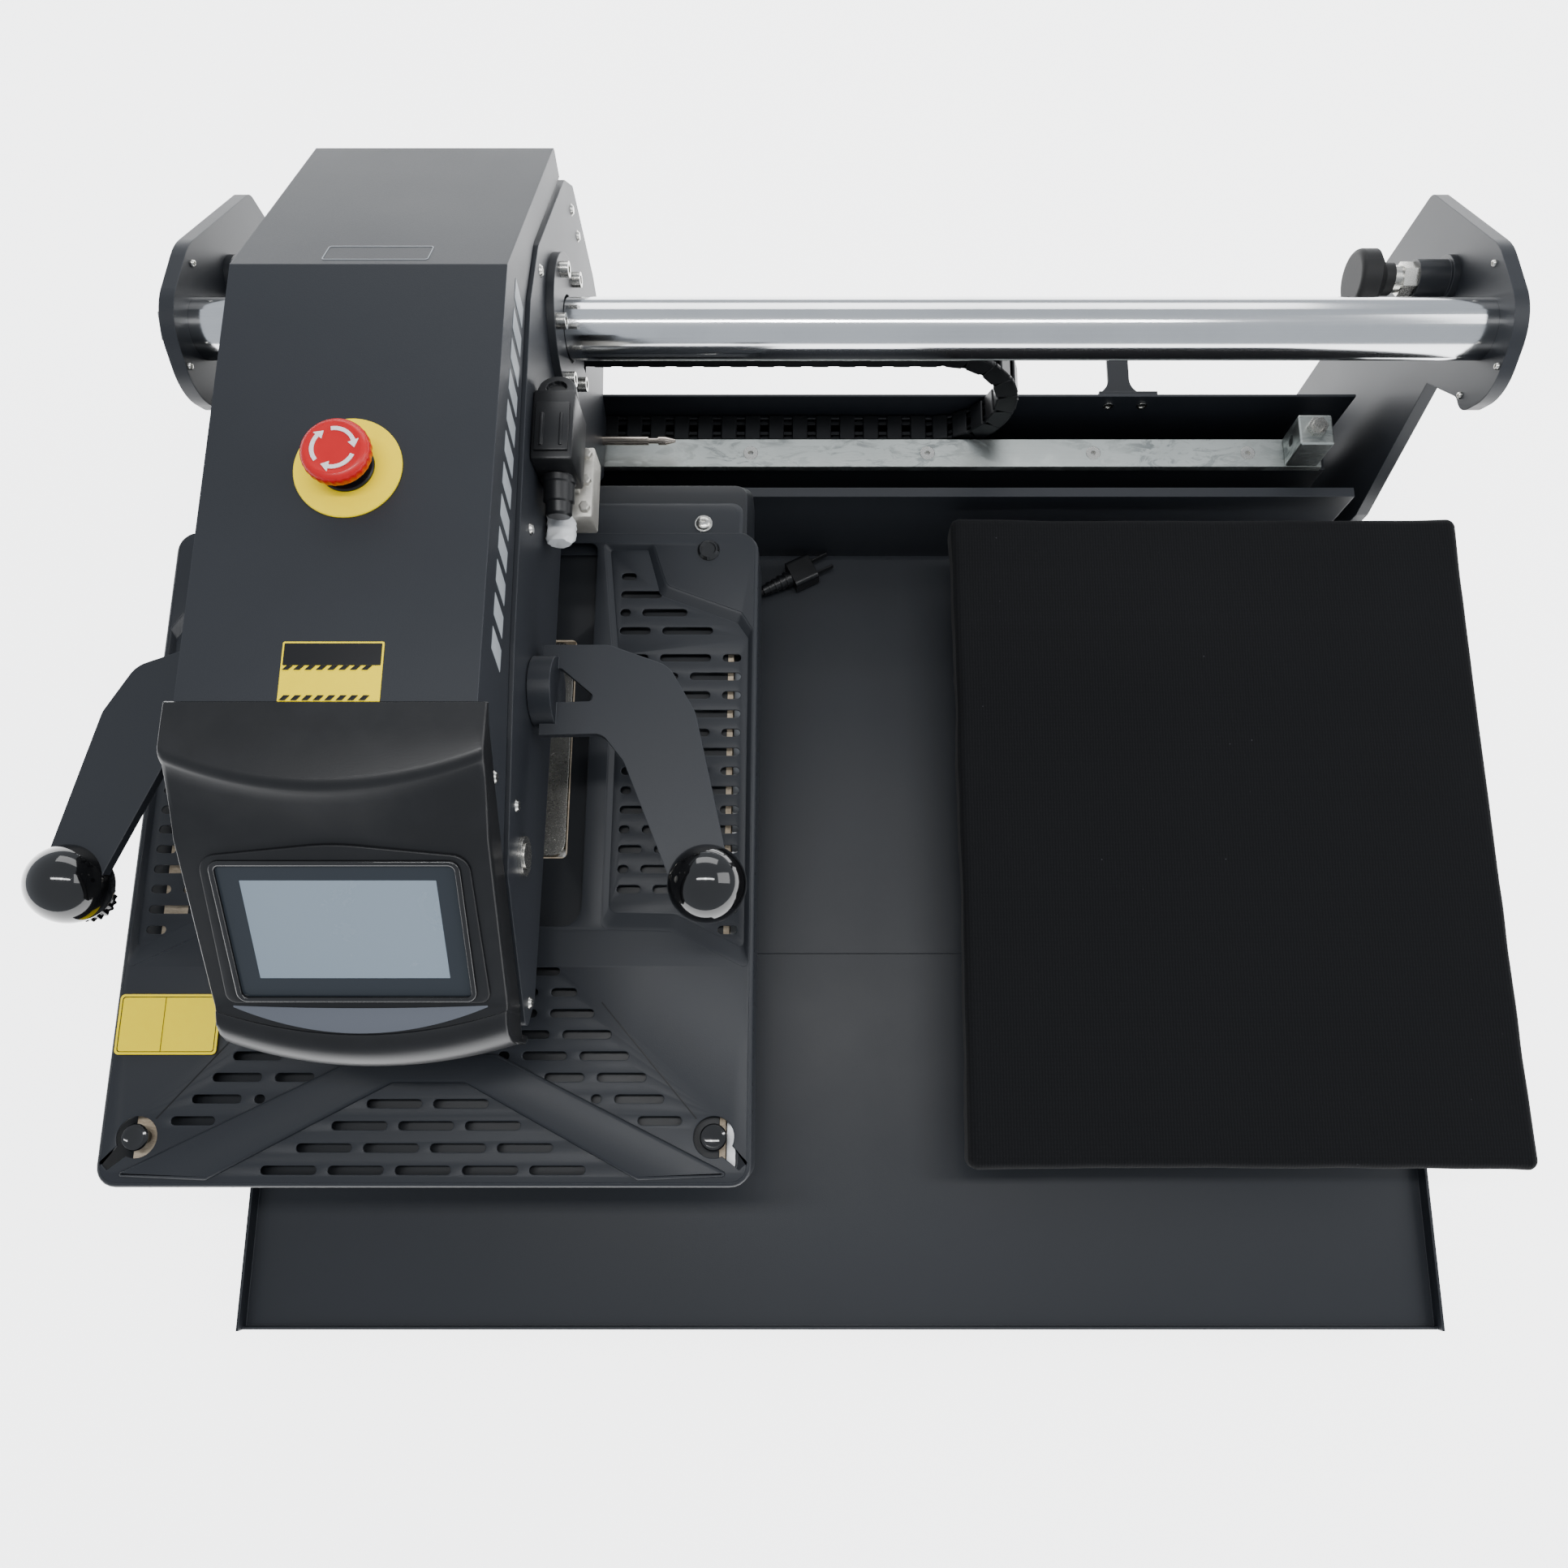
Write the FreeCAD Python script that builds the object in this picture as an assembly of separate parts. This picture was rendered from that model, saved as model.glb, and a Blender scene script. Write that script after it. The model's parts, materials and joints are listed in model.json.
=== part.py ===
import FreeCAD, Part
import math
import os

# Dual-station sliding-head heat press for flat garments, in millimetres.
# Frame: X along the chrome shaft, Y to the back, Z up. The origin is the centre of the
# footprint on the surface the rubber feet stand on.

V = FreeCAD.Vector

# ---------------------------------------------------------------- driving dimensions
DEPTH = 835.0               # front hem of the tray to the back edge of the end plates
FOOT_H = 15.0               # rubber feet
RAIL_H = 20.0               # tubes of the base frame
SHEET = 2.0                 # folded steel sheet of the trays and the trough
TRAY_TOP = FOOT_H + RAIL_H + SHEET

TRAY_HALF_W = 471.0
TRAY_SEAM = 297.0           # joint between the front and the rear tray, from the front
TRAY_BACK = 658.0
SIDE_LIP_H = 12.0
FRONT_LIP_H = 5.0

PLATE_IN = 440.0            # inner face of each end plate
PLATE_T = 10.0
SHAFT_R = 20.0
SHAFT_D = 694.0             # shaft axis, from the front
SHAFT_H = 270.0             # shaft axis, above the tray

TROUGH_HALF_L = 425.0
TROUGH_FRONT = 662.0
TROUGH_BACK = 741.0
TROUGH_FRONT_H = 104.0
TROUGH_BACK_H = 124.0

BAR_D0 = 689.0              # guide bar: front edge, width, thickness, top
BAR_W = 25.0
BAR_T = 6.0
BAR_TOP = 104.6
BAR_HALF_L = 400.0
BAR_SCREWS = (73.5, 211.5, 340.0)
PIN_D = 703.0               # locating pins: axis from the front, above the tray
PIN_H = 120.0
PIN_R = 3.5
BLOCK_X0 = 369.5            # stop blocks: inner and outer face, width
BLOCK_X1 = 396.5
BLOCK_W = 26.0

BUMPER_D = 757.0
BUMPER_H = 241.0
BUMPER_FACE = 369.0

STATION_X = 298.0           # centre of each lower platen
STATION_D = 384.0
PLATEN_W = 406.0            # 16 inches
PLATEN_L = 508.0            # 20 inches
PLATEN_T = 12.0
PAD_T = 8.0
CLOTH_T = 3.0
CLOTH_TOP = 108.0
CLOTH_DROP = 25.0

HEAD_X = -276.0             # the head rests at the left station
COVER_HALF_W = 80.0
COVER_T = 2.0
COVER_TOP = 390.0
CHEEK_OUT = 82.5            # outer face of the two structural plates of the head
CHEEK_T = 13.0
CHEEK_RABBET = 5.0          # the plates are thinner where the cover's flaps lie over them
CHEEK_IN = CHEEK_OUT - CHEEK_T
FLANGE_OUT = 88.0
FLANGE_R = 47.0
HOUSING_R = 33.0
BUSH_R = 28.0
RUN_GAP = 0.05              # radial clearance of the running fits

LEVER_D = 424.0             # axis of the handle shaft
LEVER_H = 287.0
LEVER_R = 12.5
KNOB_X = 192.0
KNOB_D = 303.0
KNOB_H = 284.0
KNOB_R = 24.0
ARM_T = 6.0

HEAT_D0 = 124.0             # heater block: front edge, bottom, thickness
HEAT_BOTTOM = 140.0
HEAT_T = 22.0
HEAT_COVER_HALF_W = 215.0
HEAT_COVER_D0 = 120.0
HEAT_COVER_D1 = 636.0
LEDGE_D = 592.0             # the heat cover steps down behind this line
HEAT_COVER_TOP = 188.0
LEDGE_TOP = 178.5
HEAT_SHEET = 1.5
RAM_R = 25.0
COLUMN_R = 10.0
COLUMN_X = 45.0
COLUMN_D = (364.0, 484.0)

CORD_R = 3.5
COIL_X = -185.0
COIL_D = 530.0
COIL_MID_R = 38.5
CORD_IN = (                 # gland to coil: x, distance from the front, height of the axis
    (-345.0, 622.0, 42.0), (-345.0, 590.0, 40.0), (-343.0, 556.0, 27.0),
    (-334.0, 524.0, 11.0), (-314.0, 500.0, 4.2), (-285.0, 488.0, 3.6),
    (-248.0, 487.5, 3.6), (-215.0, 491.0, 3.6), (-185.0, 491.5, 3.6))
CORD_OUT = (                # coil to plug
    (-146.5, 530.0, 3.6), (-145.5, 558.0, 3.6), (-137.0, 584.0, 3.6),
    (-117.0, 603.0, 4.6), (-91.0, 612.0, 6.8), (-67.0, 623.0, 8.8))
PLUG_TIP = (-7.0, 653.0)


def at(x, d, h):
    """Point from x, the distance behind the front hem and the height above the tray."""
    return V(x, d - DEPTH / 2, TRAY_TOP + h)


# ---------------------------------------------------------------- shape helpers
def box(x0, x1, d0, d1, h0, h1):
    return Part.makeBox(x1 - x0, d1 - d0, h1 - h0, at(x0, d0, h0))


def cylinder(centre, direction, radius, length):
    return Part.makeCylinder(radius, length, centre, direction)


def cylinder_x(x0, x1, d, h, radius):
    return cylinder(at(x0, d, h), V(1, 0, 0), radius, x1 - x0)


def cylinder_z(x, d, h0, h1, radius):
    return cylinder(at(x, d, h0), V(0, 0, 1), radius, h1 - h0)


def cone_x(x0, x1, d, h, r0, r1):
    return Part.makeCone(r0, r1, x1 - x0, at(x0, d, h), V(1, 0, 0))


def hexagon(centre, direction, across_flats, length):
    """Hexagonal prism whose flats are across_flats apart."""
    radius = across_flats / math.sqrt(3)
    corners = [V(radius * math.cos(math.radians(60 * i)), radius * math.sin(math.radians(60 * i)), 0)
               for i in range(7)]
    prism = Part.Face(Part.makePolygon(corners)).extrude(V(0, 0, length))
    prism.Placement = FreeCAD.Placement(centre, FreeCAD.Rotation(V(0, 0, 1), direction))
    return prism


def rounded_wire(points):
    """Closed wire through (vector, radius) corners, each rounded by its radius."""
    edges = []
    starts = []
    ends = []
    count = len(points)
    for i, (corner, radius) in enumerate(points):
        before = (points[i - 1][0] - corner).normalize()
        after = (points[(i + 1) % count][0] - corner).normalize()
        if radius <= 0:
            starts.append(corner)
            ends.append(corner)
            continue
        half = before.getAngle(after) / 2
        reach = radius / math.tan(half)
        start = corner + before * reach
        end = corner + after * reach
        middle_dir = (before + after).normalize()
        middle = corner + middle_dir * (radius / math.sin(half) - radius)
        edges.append((i, Part.Arc(start, middle, end).toShape()))
        starts.append(start)
        ends.append(end)
    arcs = dict(edges)
    ordered = []
    for i in range(count):
        if i in arcs:
            ordered.append(arcs[i])
        following = starts[(i + 1) % count]
        if (following - ends[i]).Length > 1e-6:
            ordered.append(Part.LineSegment(ends[i], following).toShape())
    return Part.Wire(ordered)


def side_profile(points, x0, x1):
    """Prism along X of an outline given as (distance, height, radius) corners."""
    corners = [(at(x0, d, h), r) for d, h, r in points]
    return Part.Face(rounded_wire(corners)).extrude(V(x1 - x0, 0, 0))


def plan_profile(points, h0, h1):
    """Prism along Z of an outline given as (x, distance, radius) corners."""
    corners = [(at(x, d, h0), r) for x, d, r in points]
    return Part.Face(rounded_wire(corners)).extrude(V(0, 0, h1 - h0))


def round_box(x0, x1, d0, d1, h0, h1, radius):
    return plan_profile([(x0, d0, radius), (x1, d0, radius), (x1, d1, radius), (x0, d1, radius)], h0, h1)


def fuse(shapes):
    return shapes[0].multiFuse(shapes[1:]).removeSplitter()


def mirror_x(shape, x=0.0):
    return shape.mirror(V(x, 0, 0), V(1, 0, 0))


def cap_screw(centre, direction, head_r, head_h, shank_r, shank_l):
    """Socket cap screw: centre is under the head, direction points out of the head."""
    head = cylinder(centre, direction, head_r, head_h)
    socket = hexagon(centre + direction * (head_h * 0.45), direction, head_r * 1.1, head_h)
    shank = cylinder(centre - direction * shank_l, direction, shank_r, shank_l)
    return head.cut(socket).fuse(shank)


def save(name, shapes):
    """Write one node; separate pieces stay separate solids."""
    if isinstance(shapes, (list, tuple)):
        solids = [solid for shape in shapes for solid in shape.Solids]
    else:
        solids = shapes.Solids
    node = solids[0] if len(solids) == 1 else Part.makeCompound(solids)
    for solid in solids:
        if not solid.isValid():
            print("invalid solid in", name)
    node.exportStep("parts/" + name + ".step")
    print(name, len(solids), "solids", round(sum(s.Volume for s in solids) / 1000, 1), "cm3")


# ---------------------------------------------------------------- base
CROSS_RAILS = (20.0, 282.0, 369.0, 628.0, 790.0)
RAIL_W = 30.0
RAIL_WALL = 2.5
RAIL_BACK = 820.0
FRAME_SCREW_R = 5.0
FRAME_SCREWS = ((690.0, -12.0), (750.0, -12.0), (805.0, -12.0))


def base_frame():
    low = -SHEET - RAIL_H
    outer = []
    hollow = []
    for side in (-1, 1):
        x0, x1 = sorted((side * (PLATE_IN - RAIL_W), side * PLATE_IN))
        outer.append(box(x0, x1, CROSS_RAILS[0], RAIL_BACK, low, -SHEET))
        hollow.append(box(x0 + RAIL_WALL, x1 - RAIL_WALL, CROSS_RAILS[0] - 1, RAIL_BACK + 1,
                          low + RAIL_WALL, -SHEET - RAIL_WALL))
    reach = PLATE_IN - RAIL_W / 2
    for d in CROSS_RAILS:
        outer.append(box(-reach, reach, d, d + RAIL_W, low, -SHEET))
        hollow.append(box(-reach, reach, d + RAIL_WALL, d + RAIL_W - RAIL_WALL,
                          low + RAIL_WALL, -SHEET - RAIL_WALL))
    frame = fuse(outer).cut(fuse(hollow))
    holes = [cylinder_x(-PLATE_IN - 1, PLATE_IN + 1, d, h, FRAME_SCREW_R + 0.2) for d, h in FRAME_SCREWS]
    return frame.cut(Part.makeCompound(holes))


FOOT_R = 19.0
FOOT_X = 425.0
FOOT_D = (45.0, 780.0)


def rubber_feet():
    feet = []
    for x in (-FOOT_X, FOOT_X):
        for d in FOOT_D:
            bottom = -SHEET - RAIL_H - FOOT_H
            feet.append(Part.makeCone(FOOT_R - 3, FOOT_R, FOOT_H, at(x, d, bottom), V(0, 0, 1)))
    return feet


def front_tray():
    floor = box(-TRAY_HALF_W, TRAY_HALF_W, 0, TRAY_SEAM - 0.4, -SHEET, 0)
    lip = box(-TRAY_HALF_W, TRAY_HALF_W, 0, SHEET, -SHEET, FRONT_LIP_H)
    return fuse([floor, lip] + tray_sides(0, TRAY_SEAM - 0.4))


def tray_sides(d0, d1):
    left = box(-TRAY_HALF_W, -TRAY_HALF_W + SHEET, d0, d1, -SHEET, SIDE_LIP_H)
    return [left, mirror_x(left)]


def rear_tray():
    floor = box(-TRAY_HALF_W, TRAY_HALF_W, TRAY_SEAM, TRAY_BACK, -SHEET, 0)
    return fuse([floor] + tray_sides(TRAY_SEAM, TRAY_BACK))


END_PLATE = (
    (664, -22, 0), (835, -22, 0), (835, 236, 10), (737, 299, 45), (676, 309, 38), (643, 268, 34),
    (654, 232, 14), (668, 231, 10), (702, 198, 0), (662, 74, 6))


def end_plate(side):
    plate = side_profile(END_PLATE, PLATE_IN, PLATE_IN + PLATE_T)
    holes = [cylinder_x(PLATE_IN - 1, PLATE_IN + PLATE_T + 1, d, h, FRAME_SCREW_R + 0.2)
             for d, h in FRAME_SCREWS]
    holes.append(cylinder_x(PLATE_IN - 1, PLATE_IN + PLATE_T + 1, SHAFT_D, SHAFT_H, SHAFT_BOLT_R + 0.2))
    holes.append(cylinder_x(PLATE_IN - 1, PLATE_IN + PLATE_T + 1, BUMPER_D, BUMPER_H, STUD_R + 0.2))
    plate = plate.cut(Part.makeCompound(holes))
    return plate if side > 0 else mirror_x(plate)


SHAFT_BOLT_R = 10.0
SHAFT_BOLT_L = 40.0


def guide_shaft():
    shaft = cylinder_x(-PLATE_IN, PLATE_IN, SHAFT_D, SHAFT_H, SHAFT_R)
    tapped = [cylinder_x(-PLATE_IN - 1, -PLATE_IN + SHAFT_BOLT_L + 2, SHAFT_D, SHAFT_H, SHAFT_BOLT_R + 0.2)]
    tapped.append(mirror_x(tapped[0]))
    return shaft.cut(Part.makeCompound(tapped))


def shaft_end_bolts():
    outer = PLATE_IN + PLATE_T
    shank = cylinder_x(PLATE_IN - SHAFT_BOLT_L, outer, SHAFT_D, SHAFT_H, SHAFT_BOLT_R)
    head = hexagon(at(outer, SHAFT_D, SHAFT_H), V(1, 0, 0), 30.0, 12.0)
    bolt = shank.fuse(head)
    return [bolt, mirror_x(bolt)]


def base_screws():
    """Shaft and frame bolts of the end plates, countersunk guide-bar screws, bracket screws."""
    screws = shaft_end_bolts()
    for side in (-1, 1):
        for d, h in FRAME_SCREWS:
            centre = at(side * (PLATE_IN + PLATE_T), d, h)
            screws.append(cap_screw(centre, V(side, 0, 0), 8.0, 5.0, FRAME_SCREW_R, 30.0))
    for x in BAR_SCREWS:
        for side in (-1, 1):
            screws.append(bar_screw(side * x))
    for x in BRACKET_SCREWS:
        centre = at(x, TROUGH_BACK, BRACKET_SCREW_H)
        screws.append(cap_screw(centre, V(0, -1, 0), 4.0, 1.2, 2.5, SHEET + BRACKET_T))
    return screws


BAR_SCREW_R = 3.0
BAR_SCREW_HEAD_R = 6.0


def bar_screw(x, grow=0.0):
    d = BAR_D0 + BAR_W / 2
    head_h = BAR_SCREW_HEAD_R - BAR_SCREW_R
    head = Part.makeCone(BAR_SCREW_R + grow, BAR_SCREW_HEAD_R + grow, head_h,
                         at(x, d, BAR_TOP - head_h), V(0, 0, 1))
    shank = cylinder_z(x, d, BAR_TOP - BAR_T - 10, BAR_TOP - head_h, BAR_SCREW_R + grow)
    screw = head.fuse(shank)
    if grow:
        return screw
    return screw.cut(hexagon(at(x, d, BAR_TOP - 2), V(0, 0, 1), 4.0, 4.0))


# ---------------------------------------------------------------- trough and guide bar
def cable_trough():
    front = box(-TROUGH_HALF_L, TROUGH_HALF_L, TROUGH_FRONT, TROUGH_FRONT + SHEET, 0, TROUGH_FRONT_H)
    lip = box(-TROUGH_HALF_L, TROUGH_HALF_L, TROUGH_FRONT, TROUGH_FRONT + 8, TROUGH_FRONT_H - SHEET,
              TROUGH_FRONT_H)
    floor = box(-TROUGH_HALF_L, TROUGH_HALF_L, TROUGH_FRONT, TROUGH_BACK + SHEET, -SHEET, 0)
    back = box(-TROUGH_HALF_L, TROUGH_HALF_L, TROUGH_BACK, TROUGH_BACK + SHEET, 0, TROUGH_BACK_H)
    shape = fuse([front, lip, floor, back])
    gland = cylinder(at(CORD_IN[0][0], TROUGH_FRONT - 1, CORD_IN[0][2]), V(0, 1, 0), GLAND_R + 0.2, 4)
    holes = [cylinder(at(x, TROUGH_BACK - 1, BRACKET_SCREW_H), V(0, 1, 0), 2.7, 4)
             for x in BRACKET_SCREWS]
    return shape.cut(Part.makeCompound([gland] + holes))


def rail_support():
    d0 = BAR_D0 + 1
    d1 = BAR_D0 + BAR_W - 1
    top = BAR_TOP - BAR_T
    outer = box(-BAR_HALF_L - 5, BAR_HALF_L + 5, d0, d1, 0, top)
    hollow = box(-BAR_HALF_L - 6, BAR_HALF_L + 6, d0 + 3, d1 - 3, 3, top - 5)
    holes = [bar_screw(side * x, 0.1) for x in BAR_SCREWS for side in (-1, 1)]
    return outer.cut(hollow).cut(Part.makeCompound(holes))


def guide_bar():
    bar = box(-BAR_HALF_L, BAR_HALF_L, BAR_D0, BAR_D0 + BAR_W, BAR_TOP - BAR_T, BAR_TOP)
    holes = [bar_screw(side * x, 0.1) for x in BAR_SCREWS for side in (-1, 1)]
    return bar.cut(Part.makeCompound(holes))


PLUNGER_X = (BLOCK_X0 + BLOCK_X1) / 2
PLUNGER_BODY_R = 5.0
PLUNGER_R = 2.2
BLOCK_TOP = 138.0
PIN_HOLE_R = 4.5


def stop_block(side):
    block = box(BLOCK_X0, BLOCK_X1, BAR_D0, BAR_D0 + BLOCK_W, BAR_TOP, BLOCK_TOP)
    block = block.makeChamfer(1.0, block.Edges)
    bore = cylinder_x(BLOCK_X0 - 1, BLOCK_X1 + 1, PIN_D, PIN_H, PIN_HOLE_R)
    thread = cylinder_z(PLUNGER_X, PIN_D, PIN_H + PIN_HOLE_R + 3, BLOCK_TOP + 1, PLUNGER_BODY_R + 0.1)
    nose = cylinder_z(PLUNGER_X, PIN_D, PIN_H, BLOCK_TOP, PLUNGER_R + 0.1)
    block = block.cut(Part.makeCompound([bore, thread, nose]))
    return block if side > 0 else mirror_x(block)


def detent_housings():
    """Threaded sleeve with its hexagon, around the spring-loaded plunger."""
    low = PIN_H + PIN_HOLE_R + 3
    sleeve = cylinder_z(PLUNGER_X, PIN_D, low, BLOCK_TOP + 7, PLUNGER_BODY_R)
    nut = hexagon(at(PLUNGER_X, PIN_D, BLOCK_TOP), V(0, 0, 1), 14.0, 4.5)
    hollow = cylinder_z(PLUNGER_X, PIN_D, low - 1, BLOCK_TOP + 4, PLUNGER_R + RUN_GAP)
    housing = sleeve.fuse(nut).cut(hollow)
    return [housing, mirror_x(housing)]


def detent_plunger(side):
    low = PIN_H + PIN_R + 0.4
    nose = cylinder_z(PLUNGER_X, PIN_D, low, BLOCK_TOP + 1.5, PLUNGER_R)
    nose = nose.makeChamfer(0.8, [nose.Edges[2]])
    return nose if side > 0 else mirror_x(nose)


STUD_R = 6.0


def bumper_bosses():
    boss = cylinder_x(PLATE_IN - 27, PLATE_IN, BUMPER_D, BUMPER_H, 13.0)
    collar = cylinder_x(PLATE_IN - 5, PLATE_IN, BUMPER_D, BUMPER_H, 16.0)
    shape = boss.fuse(collar).cut(cylinder_x(PLATE_IN - 28, PLATE_IN + 1, BUMPER_D, BUMPER_H, STUD_R + 0.1))
    return [shape, mirror_x(shape)]


def bumper_studs():
    """Threaded stud with its lock nut."""
    nut = hexagon(at(PLATE_IN - 37, BUMPER_D, BUMPER_H), V(1, 0, 0), 20.0, 10.0)
    neck = cylinder_x(BUMPER_FACE + 27.7, PLATE_IN - 37, BUMPER_D, BUMPER_H, 9.0)
    stud = cylinder_x(PLATE_IN - 37, PLATE_IN + PLATE_T, BUMPER_D, BUMPER_H, STUD_R)
    shape = fuse([nut, neck, stud])
    return [shape, mirror_x(shape)]


def bumper_pads():
    """Rubber buffers: a broad face behind a narrow waist."""
    disc = cylinder_x(BUMPER_FACE, BUMPER_FACE + 14, BUMPER_D, BUMPER_H, 20.0)
    disc = disc.makeFillet(4.0, [e for e in disc.Edges if abs(e.BoundBox.XLength) < 0.01
                                 and abs(e.BoundBox.XMin - BUMPER_FACE) < 0.01])
    shoulder = cone_x(BUMPER_FACE + 14, BUMPER_FACE + 21, BUMPER_D, BUMPER_H, 20.0, 11.0)
    base = cylinder_x(BUMPER_FACE + 21, BUMPER_FACE + 27.7, BUMPER_D, BUMPER_H, 11.0)
    pad = fuse([disc, shoulder, base])
    return [pad, mirror_x(pad)]


BRACKET_X = 238.0
BRACKET_T = 3.0
BRACKET_SCREW_H = 112.0
BRACKET_SCREWS = (BRACKET_X - 14, BRACKET_X + 14)
BRACKET_BACK = 812.0


def rear_bracket():
    """Flat arm behind the trough, flared where it is bolted on."""
    d0 = TROUGH_BACK + SHEET
    outline = [(BRACKET_X - 24, d0, 0), (BRACKET_X + 24, d0, 0), (BRACKET_X + 24, d0 + 10, 4),
               (BRACKET_X + 9, d0 + 26, 14), (BRACKET_X + 9, BRACKET_BACK, 4),
               (BRACKET_X - 9, BRACKET_BACK, 4), (BRACKET_X - 9, d0 + 26, 14), (BRACKET_X - 24, d0 + 10, 4)]
    arm = plan_profile(outline, 96, 96 + BRACKET_T)
    tab = box(BRACKET_X - 24, BRACKET_X + 24, d0, d0 + BRACKET_T, 96, TROUGH_BACK_H)
    holes = [cylinder(at(x, d0 - 1, BRACKET_SCREW_H), V(0, 1, 0), 2.7, BRACKET_T + 2)
             for x in BRACKET_SCREWS]
    return arm.fuse(tab).cut(Part.makeCompound(holes))


# ---------------------------------------------------------------- cable chain
CHAIN_D = 728.0
CHAIN_W = 23.0
CHAIN_T = 18.0
CHAIN_LOW = 92.0            # height of the lower run's axis
CHAIN_BEND_R = 56.0
CHAIN_BEND_X = 77.0         # centre of the bend
CHAIN_FIXED_X = -420.0
CHAIN_PITCH = 20.0


def chain_run(x0, x1, h):
    """Straight run, grooved between the links."""
    run = box(x0, x1, CHAIN_D - CHAIN_W / 2, CHAIN_D + CHAIN_W / 2, h - CHAIN_T / 2, h + CHAIN_T / 2)
    grooves = []
    x = x0 + CHAIN_PITCH
    while x < x1 - CHAIN_PITCH / 2:
        for low in (h - CHAIN_T / 2 - 1, h + CHAIN_T / 2 - 3):
            grooves.append(box(x - 3, x + 3, CHAIN_D - CHAIN_W / 2 + 3, CHAIN_D + CHAIN_W / 2 - 3,
                               low, low + 4))
        x += CHAIN_PITCH
    return run.cut(Part.makeCompound(grooves))


def chain_lower_run():
    return chain_run(CHAIN_FIXED_X, CHAIN_BEND_X - 0.5, CHAIN_LOW)


def chain_upper_run():
    return chain_run(HEAD_X + 4, CHAIN_BEND_X - 0.5, CHAIN_LOW + 2 * CHAIN_BEND_R)


def chain_bend():
    centre = at(CHAIN_BEND_X, CHAIN_D - CHAIN_W / 2, CHAIN_LOW + CHAIN_BEND_R)
    outer = Part.makeCylinder(CHAIN_BEND_R + CHAIN_T / 2, CHAIN_W, centre, V(0, 1, 0))
    inner = Part.makeCylinder(CHAIN_BEND_R - CHAIN_T / 2, CHAIN_W, centre, V(0, 1, 0))
    reach = CHAIN_BEND_R + CHAIN_T
    left = box(CHAIN_BEND_X - reach, CHAIN_BEND_X, CHAIN_D - CHAIN_W, CHAIN_D + CHAIN_W,
               CHAIN_LOW - reach, CHAIN_LOW + 3 * reach)
    return outer.cut(inner).cut(left)


# ---------------------------------------------------------------- lower stations
PLATEN_TOP = CLOTH_TOP - CLOTH_T - PAD_T
PEDESTAL_HALF_W = 55.0
PEDESTAL_HALF_L = 75.0


def pedestals():
    """Welded stands: foot plate, channel column and top plate."""
    top = PLATEN_TOP - PLATEN_T
    x = STATION_X
    foot = round_box(x - 75, x + 75, STATION_D - 95, STATION_D + 95, 0, 8, 8)
    column = box(x - PEDESTAL_HALF_W, x + PEDESTAL_HALF_W, STATION_D - PEDESTAL_HALF_L,
                 STATION_D + PEDESTAL_HALF_L, 8, top - 8)
    hollow = box(x - PEDESTAL_HALF_W + 5, x + PEDESTAL_HALF_W - 5, STATION_D - PEDESTAL_HALF_L - 1,
                 STATION_D + PEDESTAL_HALF_L + 1, 8, top - 8)
    plate = round_box(x - 95, x + 95, STATION_D - 120, STATION_D + 120, top - 8, top, 8)
    stand = fuse([foot, column.cut(hollow), plate])
    return [stand, mirror_x(stand)]


def station_slab(side, half_w, half_l, h0, h1, radius):
    x = side * STATION_X
    return round_box(x - half_w, x + half_w, STATION_D - half_l, STATION_D + half_l, h0, h1, radius)


def lower_platen(side):
    return station_slab(side, PLATEN_W / 2, PLATEN_L / 2, PLATEN_TOP - PLATEN_T, PLATEN_TOP, 10)


def platen_pads():
    return [station_slab(side, PLATEN_W / 2, PLATEN_L / 2, PLATEN_TOP, PLATEN_TOP + PAD_T, 10)
            for side in (-1, 1)]


def platen_cover(side):
    """Stretch cloth cover: a lid with its hem turned under the platen."""
    gap = 0.6
    outer = station_slab(side, PLATEN_W / 2 + gap + CLOTH_T, PLATEN_L / 2 + gap + CLOTH_T,
                         CLOTH_TOP - CLOTH_DROP, CLOTH_TOP, 13)
    inner = station_slab(side, PLATEN_W / 2 + gap, PLATEN_L / 2 + gap,
                         CLOTH_TOP - CLOTH_DROP - 1, CLOTH_TOP - CLOTH_T, 10)
    return outer.cut(inner)


# ---------------------------------------------------------------- power cord
GLAND_R = 8.0


def gland():
    """Cord gland in the trough wall with its tapered strain relief."""
    x, d, h = CORD_IN[0]
    y_dir = V(0, 1, 0)
    nut = hexagon(at(x, TROUGH_FRONT - 6, h), y_dir, 22.0, 6.0)
    barrel = cylinder(at(x, TROUGH_FRONT, h), y_dir, GLAND_R, SHEET + 8)
    boot = Part.makeCone(CORD_R + 1.6, GLAND_R, TROUGH_FRONT - 6 - d, at(x, d, h), y_dir)
    bore = cylinder(at(x, d, h), y_dir, CORD_R, TROUGH_FRONT + SHEET + 9 - d)
    return fuse([nut, barrel, boot]).cut(bore)


def corner_arc(before, corner, after):
    """Largest arc that the two runs at a corner allow, and its radius."""
    back = before - corner
    ahead = after - corner
    reach = 0.45 * min(back.Length, ahead.Length)
    back.normalize()
    ahead.normalize()
    half_turn = (math.pi - back.getAngle(ahead)) / 2
    radius = reach / math.tan(half_turn)
    bisector = (back + ahead).normalize()
    middle = corner + bisector * (radius / math.cos(half_turn) - radius)
    return Part.Arc(corner + back * reach, middle, corner + ahead * reach), radius


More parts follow.
